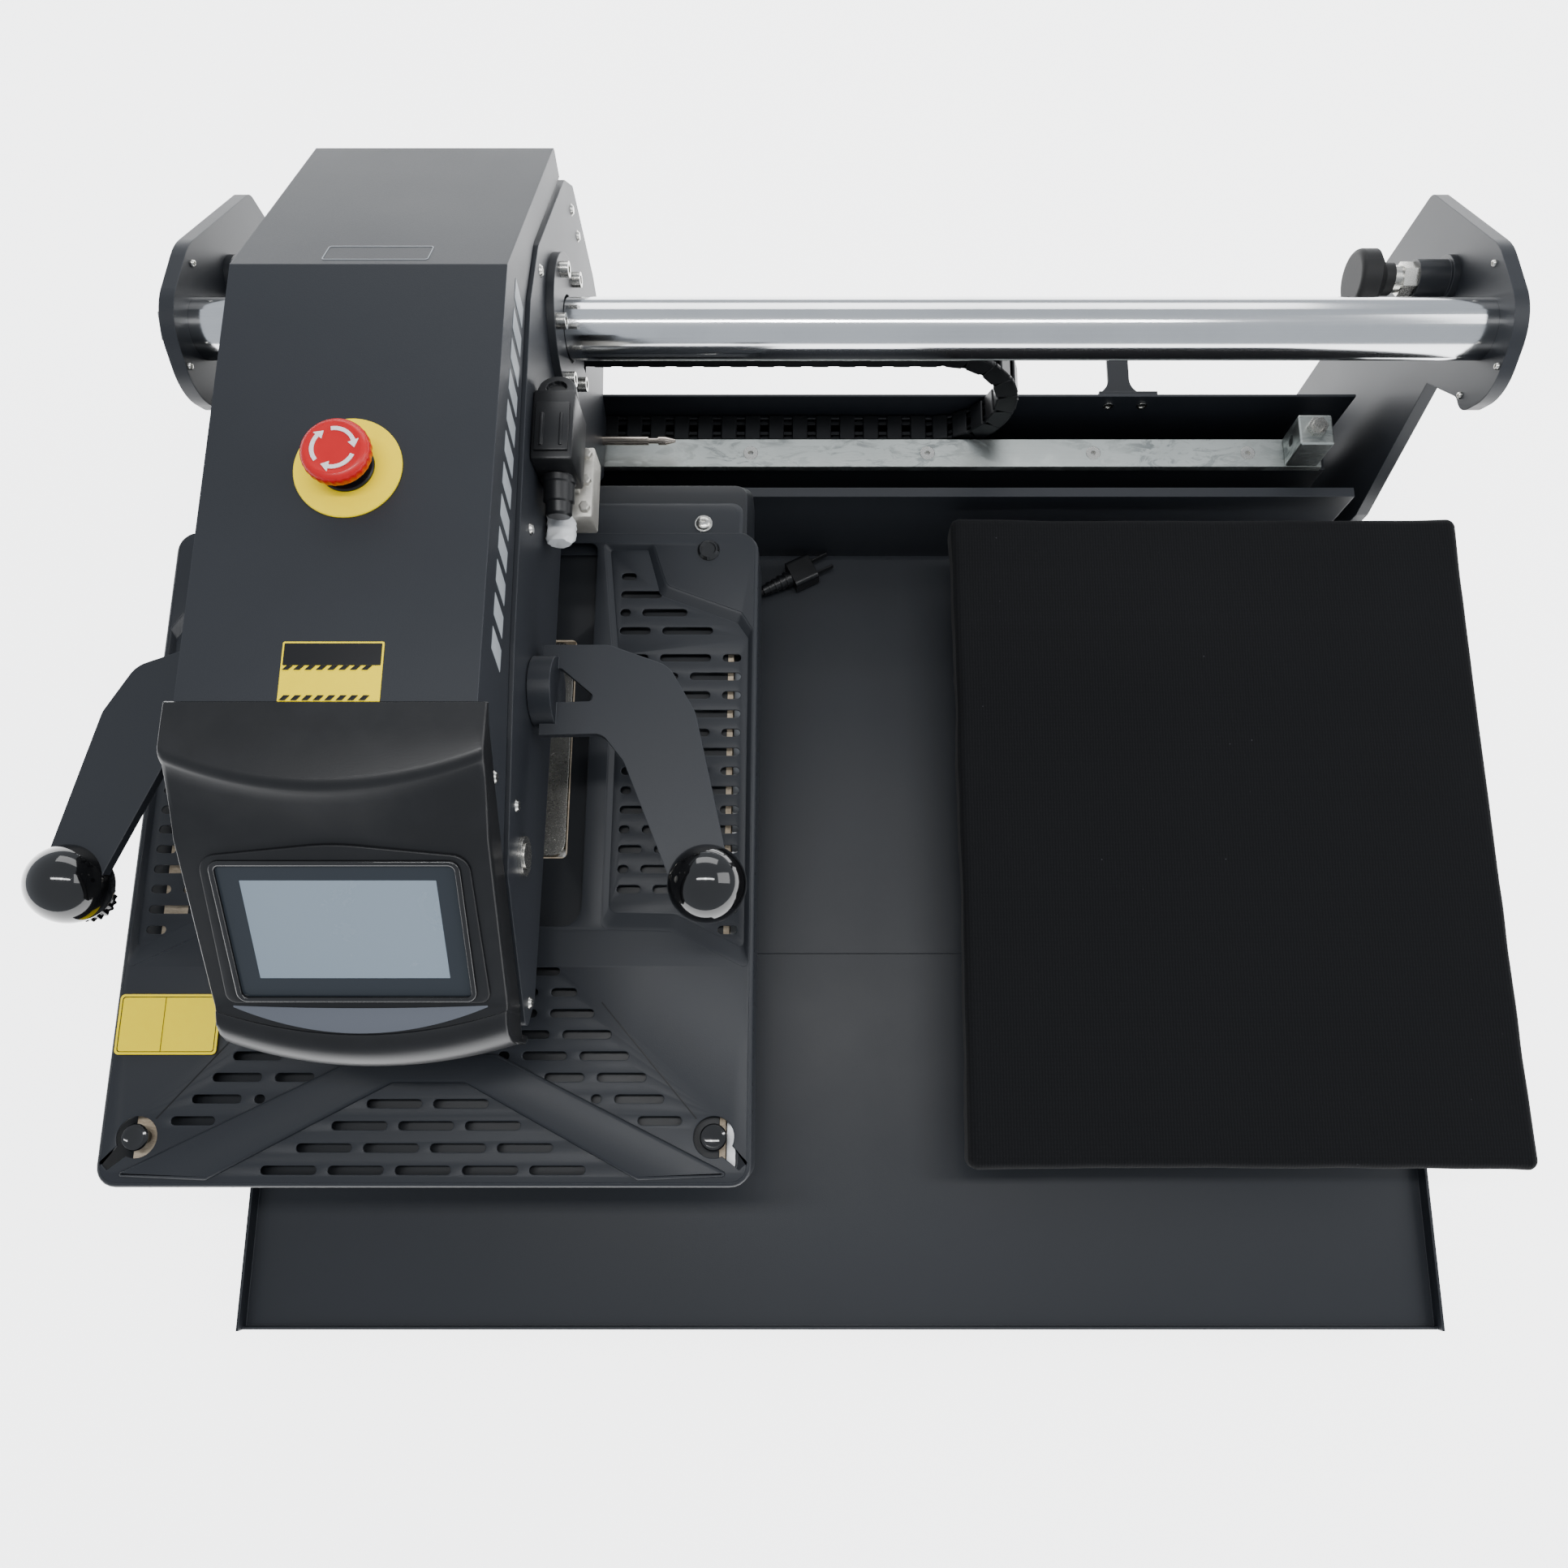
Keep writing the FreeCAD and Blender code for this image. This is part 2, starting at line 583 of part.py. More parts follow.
def cord_tube(route):
    """Round cord along straight runs joined by tangent arcs."""
    points = [at(*p) for p in route]
    edges = []
    radii = []
    last = points[0]
    for i in range(1, len(points) - 1):
        arc, radius = corner_arc(points[i - 1], points[i], points[i + 1])
        radii.append(round(radius, 1))
        edges.append(Part.LineSegment(last, arc.StartPoint).toShape())
        edges.append(arc.toShape())
        last = arc.EndPoint
    edges.append(Part.LineSegment(last, points[-1]).toShape())
    path = Part.Wire(edges)
    circle = Part.Circle(points[0], points[1] - points[0], CORD_R)
    section = Part.Wire(circle.toShape())
    tube = path.makePipeShell([section], True, False)
    ratio = tube.Volume / (math.pi * CORD_R ** 2 * path.Length)
    print("cord radii", radii, "length", round(path.Length, 1), "volume ratio", round(ratio, 4))
    return tube


def power_cord():
    return [cord_tube(CORD_IN), cord_tube(CORD_OUT)]


def cord_coil():
    outer = cylinder_z(COIL_X, COIL_D, 0.1, 21.1, COIL_MID_R + 2 * CORD_R)
    return outer.cut(cylinder_z(COIL_X, COIL_D, 0, 22, COIL_MID_R - 2 * CORD_R))


def power_plug():
    """Moulded two-pin plug with a ribbed, tapered strain relief."""
    start = at(*CORD_OUT[-1])
    heading = V(PLUG_TIP[0] - CORD_OUT[-1][0], PLUG_TIP[1] - CORD_OUT[-1][1], 0)
    total = heading.Length
    heading.normalize()
    pins_l = 17.0
    body_l = 22.0
    boot_l = total - pins_l - body_l
    boot = Part.makeCone(CORD_R + 1.0, 6.5, boot_l, start, heading)
    ribs = [cylinder(start + heading * (boot_l * k / 5.0), heading, CORD_R + 1.6 + 0.55 * k, 2.2)
            for k in range(1, 5)]
    rotation = FreeCAD.Rotation(V(0, 0, 1), math.degrees(math.atan2(heading.y, heading.x)))
    body = Part.makeBox(body_l, 25.0, 17.0, V(0, -12.5, -8.5))
    body = body.makeFillet(3.5, [e for e in body.Edges if e.BoundBox.XLength > 1 and e.BoundBox.YLength < 1
                                 and e.BoundBox.ZLength < 1])
    body.Placement = FreeCAD.Placement(start + heading * boot_l, rotation)
    pins = []
    for y in (-6.35, 6.35):
        pin = Part.makeBox(pins_l, 1.5, 6.3, V(0, y - 0.75, -3.15))
        pin.Placement = FreeCAD.Placement(start + heading * (boot_l + body_l), rotation)
        pins.append(pin)
    return fuse([boot] + ribs + [body] + pins)


# ---------------------------------------------------------------- sliding head
CHEEK = (
    (216, 262, 6), (236, 246, 6), (420, 240, 0), (598, 240, 20), (641, 184, 10), (646, 146, 8),
    (676, 110, 6), (728, 110, 6), (738, 127, 4), (786, 134, 6), (806, 184, 20), (817, 262, 5),
    (800, 286, 4), (701, 339, 20), (655, 348, 12), (432, 337, 0), (300, 322, 5))
CHEEK_INNER = (
    (216, 262, 6), (420, 250, 0), (700, 250, 0), (784, 280, 6), (640, 384, 8), (382, 384, 8))
FLAP_CUT = (
    (190, 200, 0), (840, 200, 0), (840, 268, 0), (802, 288, 0), (702, 341, 20), (655, 350, 12),
    (432, 339, 0), (299, 324, 0), (190, 244, 0))
COVER = (
    (212, 258, 3), (236, 240, 3), (420, 236, 0), (596, 236, 10), (652, 262, 12), (700, 262, 0),
    (796, 282, 4), (806, 308, 4), (646, 390, 2), (376, 390, 2), (208, 268, 2))


def head_cheek(side):
    """Structural plate of the head; carries the bushing, ram guide and handle shaft."""
    x0 = HEAD_X + CHEEK_IN
    plate = side_profile(CHEEK, x0, x0 + CHEEK_T)
    plate = plate.fuse(side_profile(CHEEK_INNER, x0, x0 + CHEEK_T - CHEEK_RABBET))
    holes = [
        cylinder_x(x0 - 1, x0 + CHEEK_T + 1, SHAFT_D, SHAFT_H, HOUSING_R + 0.1),
        cylinder_x(x0 - 1, x0 + CHEEK_T + 1, LEVER_D, LEVER_H, LEVER_R + RUN_GAP),
        cylinder_x(x0 - 1, x0 + CHEEK_T + 1, BUTTON_D, BUTTON_H, BUTTON_R + 3.0)]
    holes += [cylinder_x(x0 - 1, x0 + CHEEK_T + 1, d, h, FLANGE_SCREW_R + 0.1) for d, h in flange_screw_points()]
    upper = CHAIN_LOW + 2 * CHAIN_BEND_R
    holes.append(cylinder_x(x0 - 1, x0 + CHEEK_T + 1, PIN_D, PIN_H, PIN_R + 0.1))
    holes.append(box(x0 - 1, x0 + CHEEK_T + 1, CHAIN_D - CHAIN_W / 2 - 2.5, CHAIN_D + CHAIN_W / 2 + 2.5,
                     upper - CHAIN_T / 2 - 2.5, upper + CHAIN_T / 2 + 2.5))
    plate = plate.cut(Part.makeCompound(holes))
    return plate if side > 0 else mirror_x(plate, HEAD_X)


def head_cover():
    """Folded sheet cover: top, rear slope and two sides, open below and in front."""
    outer = side_profile(COVER, HEAD_X - COVER_HALF_W, HEAD_X + COVER_HALF_W)
    inner_outline = (
        (200, 200, 0), (820, 200, 0), (820, 306, 0), (803.5, 306.4, 0), (645.5, 388, 0), (376.6, 388, 0),
        (206, 263.5, 0))
    inner = side_profile(inner_outline, HEAD_X - COVER_HALF_W + COVER_T, HEAD_X + COVER_HALF_W - COVER_T)
    cuts = [
        inner,
        cylinder_x(HEAD_X - 90, HEAD_X + 90, SHAFT_D, SHAFT_H, FLANGE_R + 5),
        cylinder_x(HEAD_X - 90, HEAD_X + 90, LEVER_D, LEVER_H, LEVER_R + 2),
        cylinder_x(HEAD_X, HEAD_X + 90, BUTTON_D, BUTTON_H, BUTTON_R + 2.2),
        cylinder_z(HEAD_X, ESTOP_D, COVER_TOP - 5, COVER_TOP + 1, 11.2),
        box(HEAD_X - 90, HEAD_X + 90, 700, 830, 230, 281)]
    flap = side_profile(FLAP_CUT, HEAD_X + CHEEK_OUT - CHEEK_RABBET, HEAD_X + CHEEK_OUT)
    cuts += [flap, mirror_x(flap, HEAD_X)]
    return outer.cut(Part.makeCompound(cuts[:1])).cut(fuse(cuts[1:]))


FLANGE_SCREW_R = 3.0
FLANGE_PCD_R = 39.0


def flange_screw_points():
    return [(SHAFT_D + FLANGE_PCD_R * math.cos(math.radians(60 * i)),
             SHAFT_H + FLANGE_PCD_R * math.sin(math.radians(60 * i))) for i in range(6)]


def bearing_housings():
    flange = cylinder_x(HEAD_X + CHEEK_OUT, HEAD_X + FLANGE_OUT, SHAFT_D, SHAFT_H, FLANGE_R)
    barrel = cylinder_x(HEAD_X + 6, HEAD_X + FLANGE_OUT, SHAFT_D, SHAFT_H, HOUSING_R)
    bore = cylinder_x(HEAD_X + 10, HEAD_X + FLANGE_OUT - 3, SHAFT_D, SHAFT_H, BUSH_R)
    through = cylinder_x(HEAD_X, HEAD_X + FLANGE_OUT + 1, SHAFT_D, SHAFT_H, SHAFT_R + 1.5)
    holes = [cylinder_x(HEAD_X + CHEEK_OUT - 1, HEAD_X + FLANGE_OUT + 1, d, h, FLANGE_SCREW_R + 0.1)
             for d, h in flange_screw_points()]
    shape = flange.fuse(barrel).cut(Part.makeCompound([bore, through] + holes))
    return [shape, mirror_x(shape, HEAD_X)]


def linear_bushings():
    outer = cylinder_x(HEAD_X + 10, HEAD_X + FLANGE_OUT - 3, SHAFT_D, SHAFT_H, BUSH_R)
    bushing = outer.cut(cylinder_x(HEAD_X, HEAD_X + FLANGE_OUT, SHAFT_D, SHAFT_H, SHAFT_R + RUN_GAP))
    return [bushing, mirror_x(bushing, HEAD_X)]


COVER_SCREWS = ((350, 352),)
PLATE_SCREWS = (
    (234, 258), (344, 313), (518, 318), (566, 256), (690, 331), (797, 262), (794, 240))
SIDE_BOX_D0 = 462.0
SIDE_BOX_D1 = 556.0


def head_screws():
    screws = []
    for side in (-1, 1):
        for d, h in flange_screw_points():
            centre = at(HEAD_X + side * FLANGE_OUT, d, h)
            screws.append(cap_screw(centre, V(side, 0, 0), 5.0, 6.0, FLANGE_SCREW_R, 16.0))
        for d, h in COVER_SCREWS:
            centre = at(HEAD_X + side * COVER_HALF_W, d, h)
            screws.append(Part.makeCone(4.0, 2.6, 1.6, centre, V(side, 0, 0)))
        for d, h in PLATE_SCREWS:
            if side < 0 and SIDE_BOX_D0 < d < SIDE_BOX_D1:
                continue
            centre = at(HEAD_X + side * CHEEK_OUT, d, h)
            screws.append(Part.makeCone(4.0, 2.6, 1.6, centre, V(side, 0, 0)))
    return screws


CARRIAGE_D0 = 681.0
CARRIAGE_D1 = 732.0
CARRIAGE_LOW = 108.0


def carriage_bracket():
    """Cross block between the plates; its jaws straddle the guide bar."""
    x0 = HEAD_X - CHEEK_IN
    x1 = HEAD_X + CHEEK_IN
    block = box(x0, x1, CARRIAGE_D0, CARRIAGE_D1, CARRIAGE_LOW + 4, 146)
    jaw = box(x0, x1, CARRIAGE_D0, BAR_D0 - 3.3, BAR_TOP - BAR_T, CARRIAGE_LOW + 4)
    shelf_top = CHAIN_LOW + 2 * CHAIN_BEND_R - CHAIN_T / 2
    shelf = box(HEAD_X - 4, x1, CARRIAGE_D1 - 28, CARRIAGE_D1 + 8, 146, shelf_top)
    bore = cylinder_x(x0 - 1, x1 + 1, PIN_D, PIN_H, PIN_R)
    return fuse([block, jaw, shelf]).cut(bore)


def glide_pads():
    """Low-friction pads on the top and front face of the guide bar."""
    x0 = HEAD_X - CHEEK_IN
    x1 = HEAD_X + CHEEK_IN
    top = box(x0, x1, BAR_D0 + 2, BAR_D0 + BAR_W - 2, BAR_TOP + 0.3, CARRIAGE_LOW + 4)
    front = box(x0, x1, BAR_D0 - 3.3, BAR_D0 - 0.3, BAR_TOP - BAR_T, BAR_TOP)
    return [top, front]


def locating_pins():
    """One pin through the carriage; grooved behind each pointed end."""
    reach = 142.0
    parts = [cylinder_x(HEAD_X - reach + 8, HEAD_X + reach - 8, PIN_D, PIN_H, PIN_R)]
    for side in (-1, 1):
        tip = Part.makeCone(PIN_R, 1.2, 8.0, at(HEAD_X + side * (reach - 8), PIN_D, PIN_H), V(side, 0, 0))
        parts.append(tip)
    pin = fuse(parts)
    grooves = []
    for side in (-1, 1):
        x = HEAD_X + side * (reach - 18)
        ring = cylinder_x(x - 4, x + 4, PIN_D, PIN_H, PIN_R + 1).cut(
            cylinder_x(x - 4, x + 4, PIN_D, PIN_H, 2.3))
        grooves.append(ring)
    return pin.cut(Part.makeCompound(grooves))


CONSOLE = (
    (380, 391.5, 0.5), (352, 391.5, 8), (330, 383, 20), (222, 305, 14), (199, 293, 6), (197, 280, 5),
    (206, 266.7, 1.5), (376, 390.15, 0), (380, 390.15, 0))
CONSOLE_HALF_W = 86.0
SCREEN_ANGLE = math.degrees(math.atan2(33.0, 46.0))
SCREEN_CENTRE = (266.0, 336.8)


def console_housing():
    shape = side_profile(CONSOLE, HEAD_X - CONSOLE_HALF_W, HEAD_X + CONSOLE_HALF_W)
    return shape.cut(screen_slab(64.5, 42.5, -6.0, 20.0))


def screen_slab(half_w, half_l, low, high):
    """Slab lying in the sloped plane of the screen."""
    slab = Part.makeBox(2 * half_w, 2 * half_l, high - low, V(-half_w, -half_l, low))
    slab = slab.makeFillet(5.0, [e for e in slab.Edges if e.BoundBox.ZLength > 1])
    slab.Placement = FreeCAD.Placement(at(HEAD_X, SCREEN_CENTRE[0], SCREEN_CENTRE[1]),
                                       FreeCAD.Rotation(V(1, 0, 0), SCREEN_ANGLE))
    return slab


def lcd_panel():
    return screen_slab(64.0, 42.0, -5.5, -1.0)


def side_connectors():
    """Round plug-in connector, sleeve and valve body on the right side."""
    x = HEAD_X + CHEEK_OUT
    block = box(x, x + 26, 556, 606, 292, 332)
    nut = cylinder(at(x + 13, 606, 312), V(0, 1, 0), 12.0, 16)
    sleeve = cylinder(at(x + 13, 536, 308), V(0, 1, 0), 10.0, 20)
    valve = box(x, x + 20, 540, 604, 262, 291.5)
    return [fuse([block, nut, sleeve]), valve]


def side_box():
    x = HEAD_X - CHEEK_OUT
    shape = box(x - 18, x, SIDE_BOX_D0, SIDE_BOX_D1, 290, 336)
    ports = [cylinder_x(x - 19, x - 10, d, 325, 7) for d in (480, 502, 524)]
    return shape.cut(Part.makeCompound(ports))


RAM_GUIDE_H0 = 244.0
RAM_GUIDE_H1 = 266.0


def ram_guide():
    """Cross block with the bores of the ram and its four guide columns."""
    block = box(HEAD_X - CHEEK_IN, HEAD_X + CHEEK_IN, 346, 502, RAM_GUIDE_H0, RAM_GUIDE_H1)
    bores = [cylinder_z(HEAD_X, LEVER_D, RAM_GUIDE_H0 - 1, RAM_GUIDE_H1 + 1, RAM_R + RUN_GAP)]
    for dx in (-COLUMN_X, COLUMN_X):
        for d in COLUMN_D:
            bores.append(cylinder_z(HEAD_X + dx, d, RAM_GUIDE_H0 - 1, RAM_GUIDE_H1 + 1, COLUMN_R + RUN_GAP))
    return block.cut(Part.makeCompound(bores))


MAGNET_D = 540.0


def electromagnet():
    """Holding magnet on the cross beam that keeps the platen down while pressing."""
    beam = box(HEAD_X - CHEEK_IN, HEAD_X + CHEEK_IN, 512, 572, 256, 262)
    can = cylinder_z(HEAD_X, MAGNET_D, 262, 296, 26)
    return beam.fuse(can)


# ---------------------------------------------------------------- controls
BUTTON_D = 318.0
BUTTON_H = 294.0
BUTTON_R = 8.0
ESTOP_D = 516.0
ESTOP_R = 19.0
ESTOP_H = 21.0
ESTOP_CAVITY = 16.5


def button_ring():
    x = HEAD_X + CHEEK_OUT
    ring = cylinder_x(x, x + 2.5, BUTTON_D, BUTTON_H, BUTTON_R + 4)
    barrel = cylinder_x(x - 2.4, x, BUTTON_D, BUTTON_H, BUTTON_R + 2)
    return ring.fuse(barrel).cut(cylinder_x(x - 4, x + 4, BUTTON_D, BUTTON_H, BUTTON_R + 0.3))


def power_button():
    x = HEAD_X + CHEEK_OUT
    button = cylinder_x(x - 8, x + 3.2, BUTTON_D, BUTTON_H, BUTTON_R)
    return button


def estop_collar():
    """Yellow ring plate and the fixed socket of the stop button."""
    disc = cylinder_z(HEAD_X, ESTOP_D, COVER_TOP, COVER_TOP + 1.5, 30)
    socket = cylinder_z(HEAD_X, ESTOP_D, COVER_TOP - 14, COVER_TOP + 8, 11)
    skirt = cylinder_z(HEAD_X, ESTOP_D, COVER_TOP + 1.5, COVER_TOP + 3.5, 15)
    bore = cylinder_z(HEAD_X, ESTOP_D, COVER_TOP - 16, COVER_TOP + 12, 8.3)
    return fuse([disc, socket, skirt]).cut(bore)


def estop_stem():
    return cylinder_z(HEAD_X, ESTOP_D, COVER_TOP - 8, COVER_TOP + ESTOP_CAVITY, 8)


def estop_button():
    """Mushroom cap that pushes in and twists to release."""
    low = COVER_TOP + 9.5
    base = Part.makeCone(15.5, ESTOP_R, 4.0, at(HEAD_X, ESTOP_D, low), V(0, 0, 1))
    cap = cylinder_z(HEAD_X, ESTOP_D, low + 4, COVER_TOP + ESTOP_H, ESTOP_R)
    top_edges = [e for e in cap.Edges if e.BoundBox.ZMin > at(0, 0, COVER_TOP + ESTOP_H - 0.1).z]
    cap = cap.makeFillet(4.0, top_edges)
    return base.fuse(cap).cut(cylinder_z(HEAD_X, ESTOP_D, low - 1, COVER_TOP + ESTOP_CAVITY, 13))


# ---------------------------------------------------------------- heat platen
INSULATION_T = 12.0
INSULATION_BACK = 618.0


def heat_slab(x_inset, d_inset, h0, h1, radius):
    return round_box(HEAD_X - PLATEN_W / 2 + x_inset, HEAD_X + PLATEN_W / 2 - x_inset,
                     HEAT_D0 + d_inset, HEAT_D0 + PLATEN_L - d_inset, h0, h1, radius)


def heater_block():
    return heat_slab(0, 0, HEAT_BOTTOM, HEAT_BOTTOM + HEAT_T, 10)


FLANGE_HALF = 80.0
FLANGE_T = 12.0


def insulation():
    low = HEAT_BOTTOM + HEAT_T
    slab = heat_slab(6, 6, low, low + INSULATION_T, 8)
    window = box(HEAD_X - FLANGE_HALF - 1, HEAD_X + FLANGE_HALF + 1, LEVER_D - FLANGE_HALF - 1,
                 LEVER_D + FLANGE_HALF + 1, low - 1, low + INSULATION_T + 1)
    back = box(HEAD_X - PLATEN_W, HEAD_X + PLATEN_W, INSULATION_BACK, HEAT_D0 + PLATEN_L,
               low - 1, low + INSULATION_T + 1)
    return slab.cut(window).cut(back)


PANEL_SLOT_R = 3.0
WINDOW_HALF_W = 96.0
WINDOW_D = (292.0, 586.0)


def slot(x, d, length, h0, h1):
    half = length / 2
    return fuse([cylinder_z(x - half, d, h0, h1, PANEL_SLOT_R), cylinder_z(x + half, d, h0, h1, PANEL_SLOT_R),
                 box(x - half, x + half, d - PANEL_SLOT_R, d + PANEL_SLOT_R, h0, h1)])


def vent_slots(h0, h1):
    """Rows of round-ended slots: a front triangle and a strip on each side."""
    slots = []
    for row in range(5):
        count = 5 - row
        for i in range(count):
            x = HEAD_X + (i - (count - 1) / 2) * 44.0
            slots.append(slot(x, HEAT_COVER_D0 + 18 + row * 14.0, 30.0, h0, h1))
    for row in range(14):
        d = 250.0 + row * 22.0
        for side in (-1, 1):
            slots.append(slot(HEAD_X + side * 190.0, d, 22.0, h0, h1))
            slots.append(slot(HEAD_X + side * 150.0, d + 11.0, 22.0, h0, h1))
    return Part.makeCompound(slots)


def heat_cover():
    """Vented sheet cover over the heater, stepped down along its back."""
    w = HEAT_COVER_HALF_W
    low = HEAT_BOTTOM + 3
    outer = fuse([
        round_box(HEAD_X - w, HEAD_X + w, HEAT_COVER_D0, LEDGE_D, low, HEAT_COVER_TOP, 14),
        round_box(HEAD_X - w + 6, HEAD_X + w - 6, LEDGE_D - 40, HEAT_COVER_D1, low, LEDGE_TOP, 12)])
    t = HEAT_SHEET
    inner = fuse([
        round_box(HEAD_X - w + t, HEAD_X + w - t, HEAT_COVER_D0 + t, LEDGE_D - t, low - 1,
                  HEAT_COVER_TOP - t, 13),
        round_box(HEAD_X - w + 6 + t, HEAD_X + w - 6 - t, LEDGE_D - 40, HEAT_COVER_D1 - t, low - 1,
                  LEDGE_TOP - t, 11)])
    window = round_box(HEAD_X - WINDOW_HALF_W, HEAD_X + WINDOW_HALF_W, WINDOW_D[0], WINDOW_D[1],
                       HEAT_COVER_TOP - 10, HEAT_COVER_TOP + 10, 14)
    shell = outer.cut(inner).cut(window).cut(vent_slots(HEAT_COVER_TOP - 5, HEAT_COVER_TOP + 5))
    holes = [cylinder_z(HEAD_X + x, d, 160, 195, 3.2) for x, d in COVER_STUDS]
    return shell.cut(Part.makeCompound(holes))


COVER_STUDS = ((-186.0, 156.0), (186.0, 156.0), (-176.0, 606.0), (176.0, 606.0))


def heat_cover_fasteners():
    """Stand-off studs from the heater to the cover, with their round heads."""
    studs = []
    for x, d in COVER_STUDS:
        top = HEAT_COVER_TOP if d < LEDGE_D else LEDGE_TOP
        studs.append(fuse([cylinder_z(HEAD_X + x, d, HEAT_BOTTOM + HEAT_T + INSULATION_T, top, 3.0),
                           cylinder_z(HEAD_X + x, d, top, top + 5, 8.0)]))
    return studs


def press_ram():
    """Ram with its flange bolted on the heater."""
    low = HEAT_BOTTOM + HEAT_T
    flange = round_box(HEAD_X - FLANGE_HALF, HEAD_X + FLANGE_HALF, LEVER_D - FLANGE_HALF,
                       LEVER_D + FLANGE_HALF, low, low + FLANGE_T, 10)
    column = cylinder_z(HEAD_X, LEVER_D, low + FLANGE_T, 272, RAM_R)
    return flange.fuse(column)


def guide_columns():
    low = HEAT_BOTTOM + HEAT_T + FLANGE_T
    return [cylinder_z(HEAD_X + dx, d, low, RAM_GUIDE_H1 + 34, COLUMN_R)
            for dx in (-COLUMN_X, COLUMN_X) for d in COLUMN_D]


# ---------------------------------------------------------------- handle
def lever_shaft():
    shaft = cylinder_x(HEAD_X - FLANGE_OUT - 4, HEAD_X + FLANGE_OUT + 4, LEVER_D, LEVER_H, LEVER_R)
    cam = cylinder_x(HEAD_X - 16, HEAD_X + 16, LEVER_D, LEVER_H + 8, 20)
    return shaft.fuse(cam)


HUB_X0 = COVER_HALF_W + 3.0
ARM = (
    (HUB_X0 + 4, 395, 0), (126, 396, 10), (140, 378, 14), (172, 300, 10), (205, 296, 10), (204, 318, 20),
    (183, 410, 16), (166, 440, 18), (128, 454, 14), (HUB_X0 + 4, 454, 0))
ARM_HOLE = ((HUB_X0 + 12, 416, 2), (124, 417, 3), (HUB_X0 + 12, 442, 3))


def handle_arm(side):
    """Flat lever plate with a gusset hole, welded to its hub ring."""
    low = LEVER_H - ARM_T / 2
    arm = plan_profile(ARM, low, low + ARM_T).cut(plan_profile(ARM_HOLE, low - 1, low + ARM_T + 1))
    arm.translate(V(HEAD_X, 0, 0))
    hub = cylinder_x(HEAD_X + HUB_X0, HEAD_X + HUB_X0 + 14, LEVER_D, LEVER_H, 22)
    bore = cylinder_x(HEAD_X + HUB_X0 - 1, HEAD_X + FLANGE_OUT + 4, LEVER_D, LEVER_H, LEVER_R)
    shape = fuse([arm, hub]).cut(bore)
    return shape if side > 0 else mirror_x(shape, HEAD_X)


def ball_knobs():
    """Balls clamped over the ends of the lever plates."""
    ball = Part.makeSphere(KNOB_R, at(HEAD_X + KNOB_X, KNOB_D, KNOB_H))
    knob = ball.cut(handle_arm(1))
    return [knob, mirror_x(knob, HEAD_X)]


def build():
    os.makedirs("parts", exist_ok=True)
    save("base_frame", base_frame())
    save("rubber_feet", rubber_feet())
    save("front_tray", front_tray())
    save("rear_tray", rear_tray())
    save("cable_trough", cable_trough())
    save("guide_shaft", guide_shaft())
    save("base_screws", base_screws())
    save("rail_support", rail_support())
    save("guide_bar", guide_bar())
    save("detent_housings", detent_housings())
    save("bumper_bosses", bumper_bosses())
    save("bumper_studs", bumper_studs())
    save("bumper_pads", bumper_pads())
    save("rear_bracket", rear_bracket())
    save("pedestals", pedestals())
    save("lower_platens", [lower_platen(side) for side in (-1, 1)])
    save("platen_pads", platen_pads())
    save("stop_blocks", [stop_block(side) for side in (-1, 1)])
    for side, word in ((-1, "left"), (1, "right")):
        save("end_plate_" + word, end_plate(side))
        save("detent_plunger_" + word, detent_plunger(side))
        save("platen_cover_" + word, platen_cover(side))
        save("head_plate_" + word, head_cheek(side))
    save("chain_lower_run", chain_lower_run())
    save("chain_bend", chain_bend())
    save("chain_upper_run", chain_upper_run())
    save("cord_gland", gland())
    save("power_cord", power_cord())
    save("cord_coil", cord_coil())
    save("power_plug", power_plug())
    save("head_cover", head_cover())
    save("head_screws", head_screws())
    save("bearing_housings", bearing_housings())
    save("linear_bushings", linear_bushings())
    save("carriage_bracket", carriage_bracket())
    save("glide_pads", glide_pads())
    save("locating_pin", locating_pins())
    save("console_housing", console_housing())
    save("lcd_panel", lcd_panel())
    save("side_connectors", side_connectors())
    save("side_box", side_box())
    save("ram_guide", ram_guide())
    save("electromagnet", electromagnet())
    save("button_ring", button_ring())
    save("power_button", power_button())
    save("estop_collar", estop_collar())
    save("estop_stem", estop_stem())
    save("estop_button", estop_button())
    save("heater_block", heater_block())
    save("insulation", insulation())
    save("heat_cover", heat_cover())
    save("heat_cover_fasteners", heat_cover_fasteners())
    save("press_ram", press_ram())
    save("guide_columns", guide_columns())
    save("lever_shaft", lever_shaft())
    save("handle_arms", [handle_arm(side) for side in (-1, 1)])
    save("ball_knobs", ball_knobs())


build()
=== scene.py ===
"""Dual-station sliding-head heat press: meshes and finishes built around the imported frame."""
import json
import logging
import math
from dataclasses import dataclass, field
from enum import Enum
from typing import Callable, Iterable, Sequence

import bmesh
import bpy
from mathutils import Matrix, Vector, noise


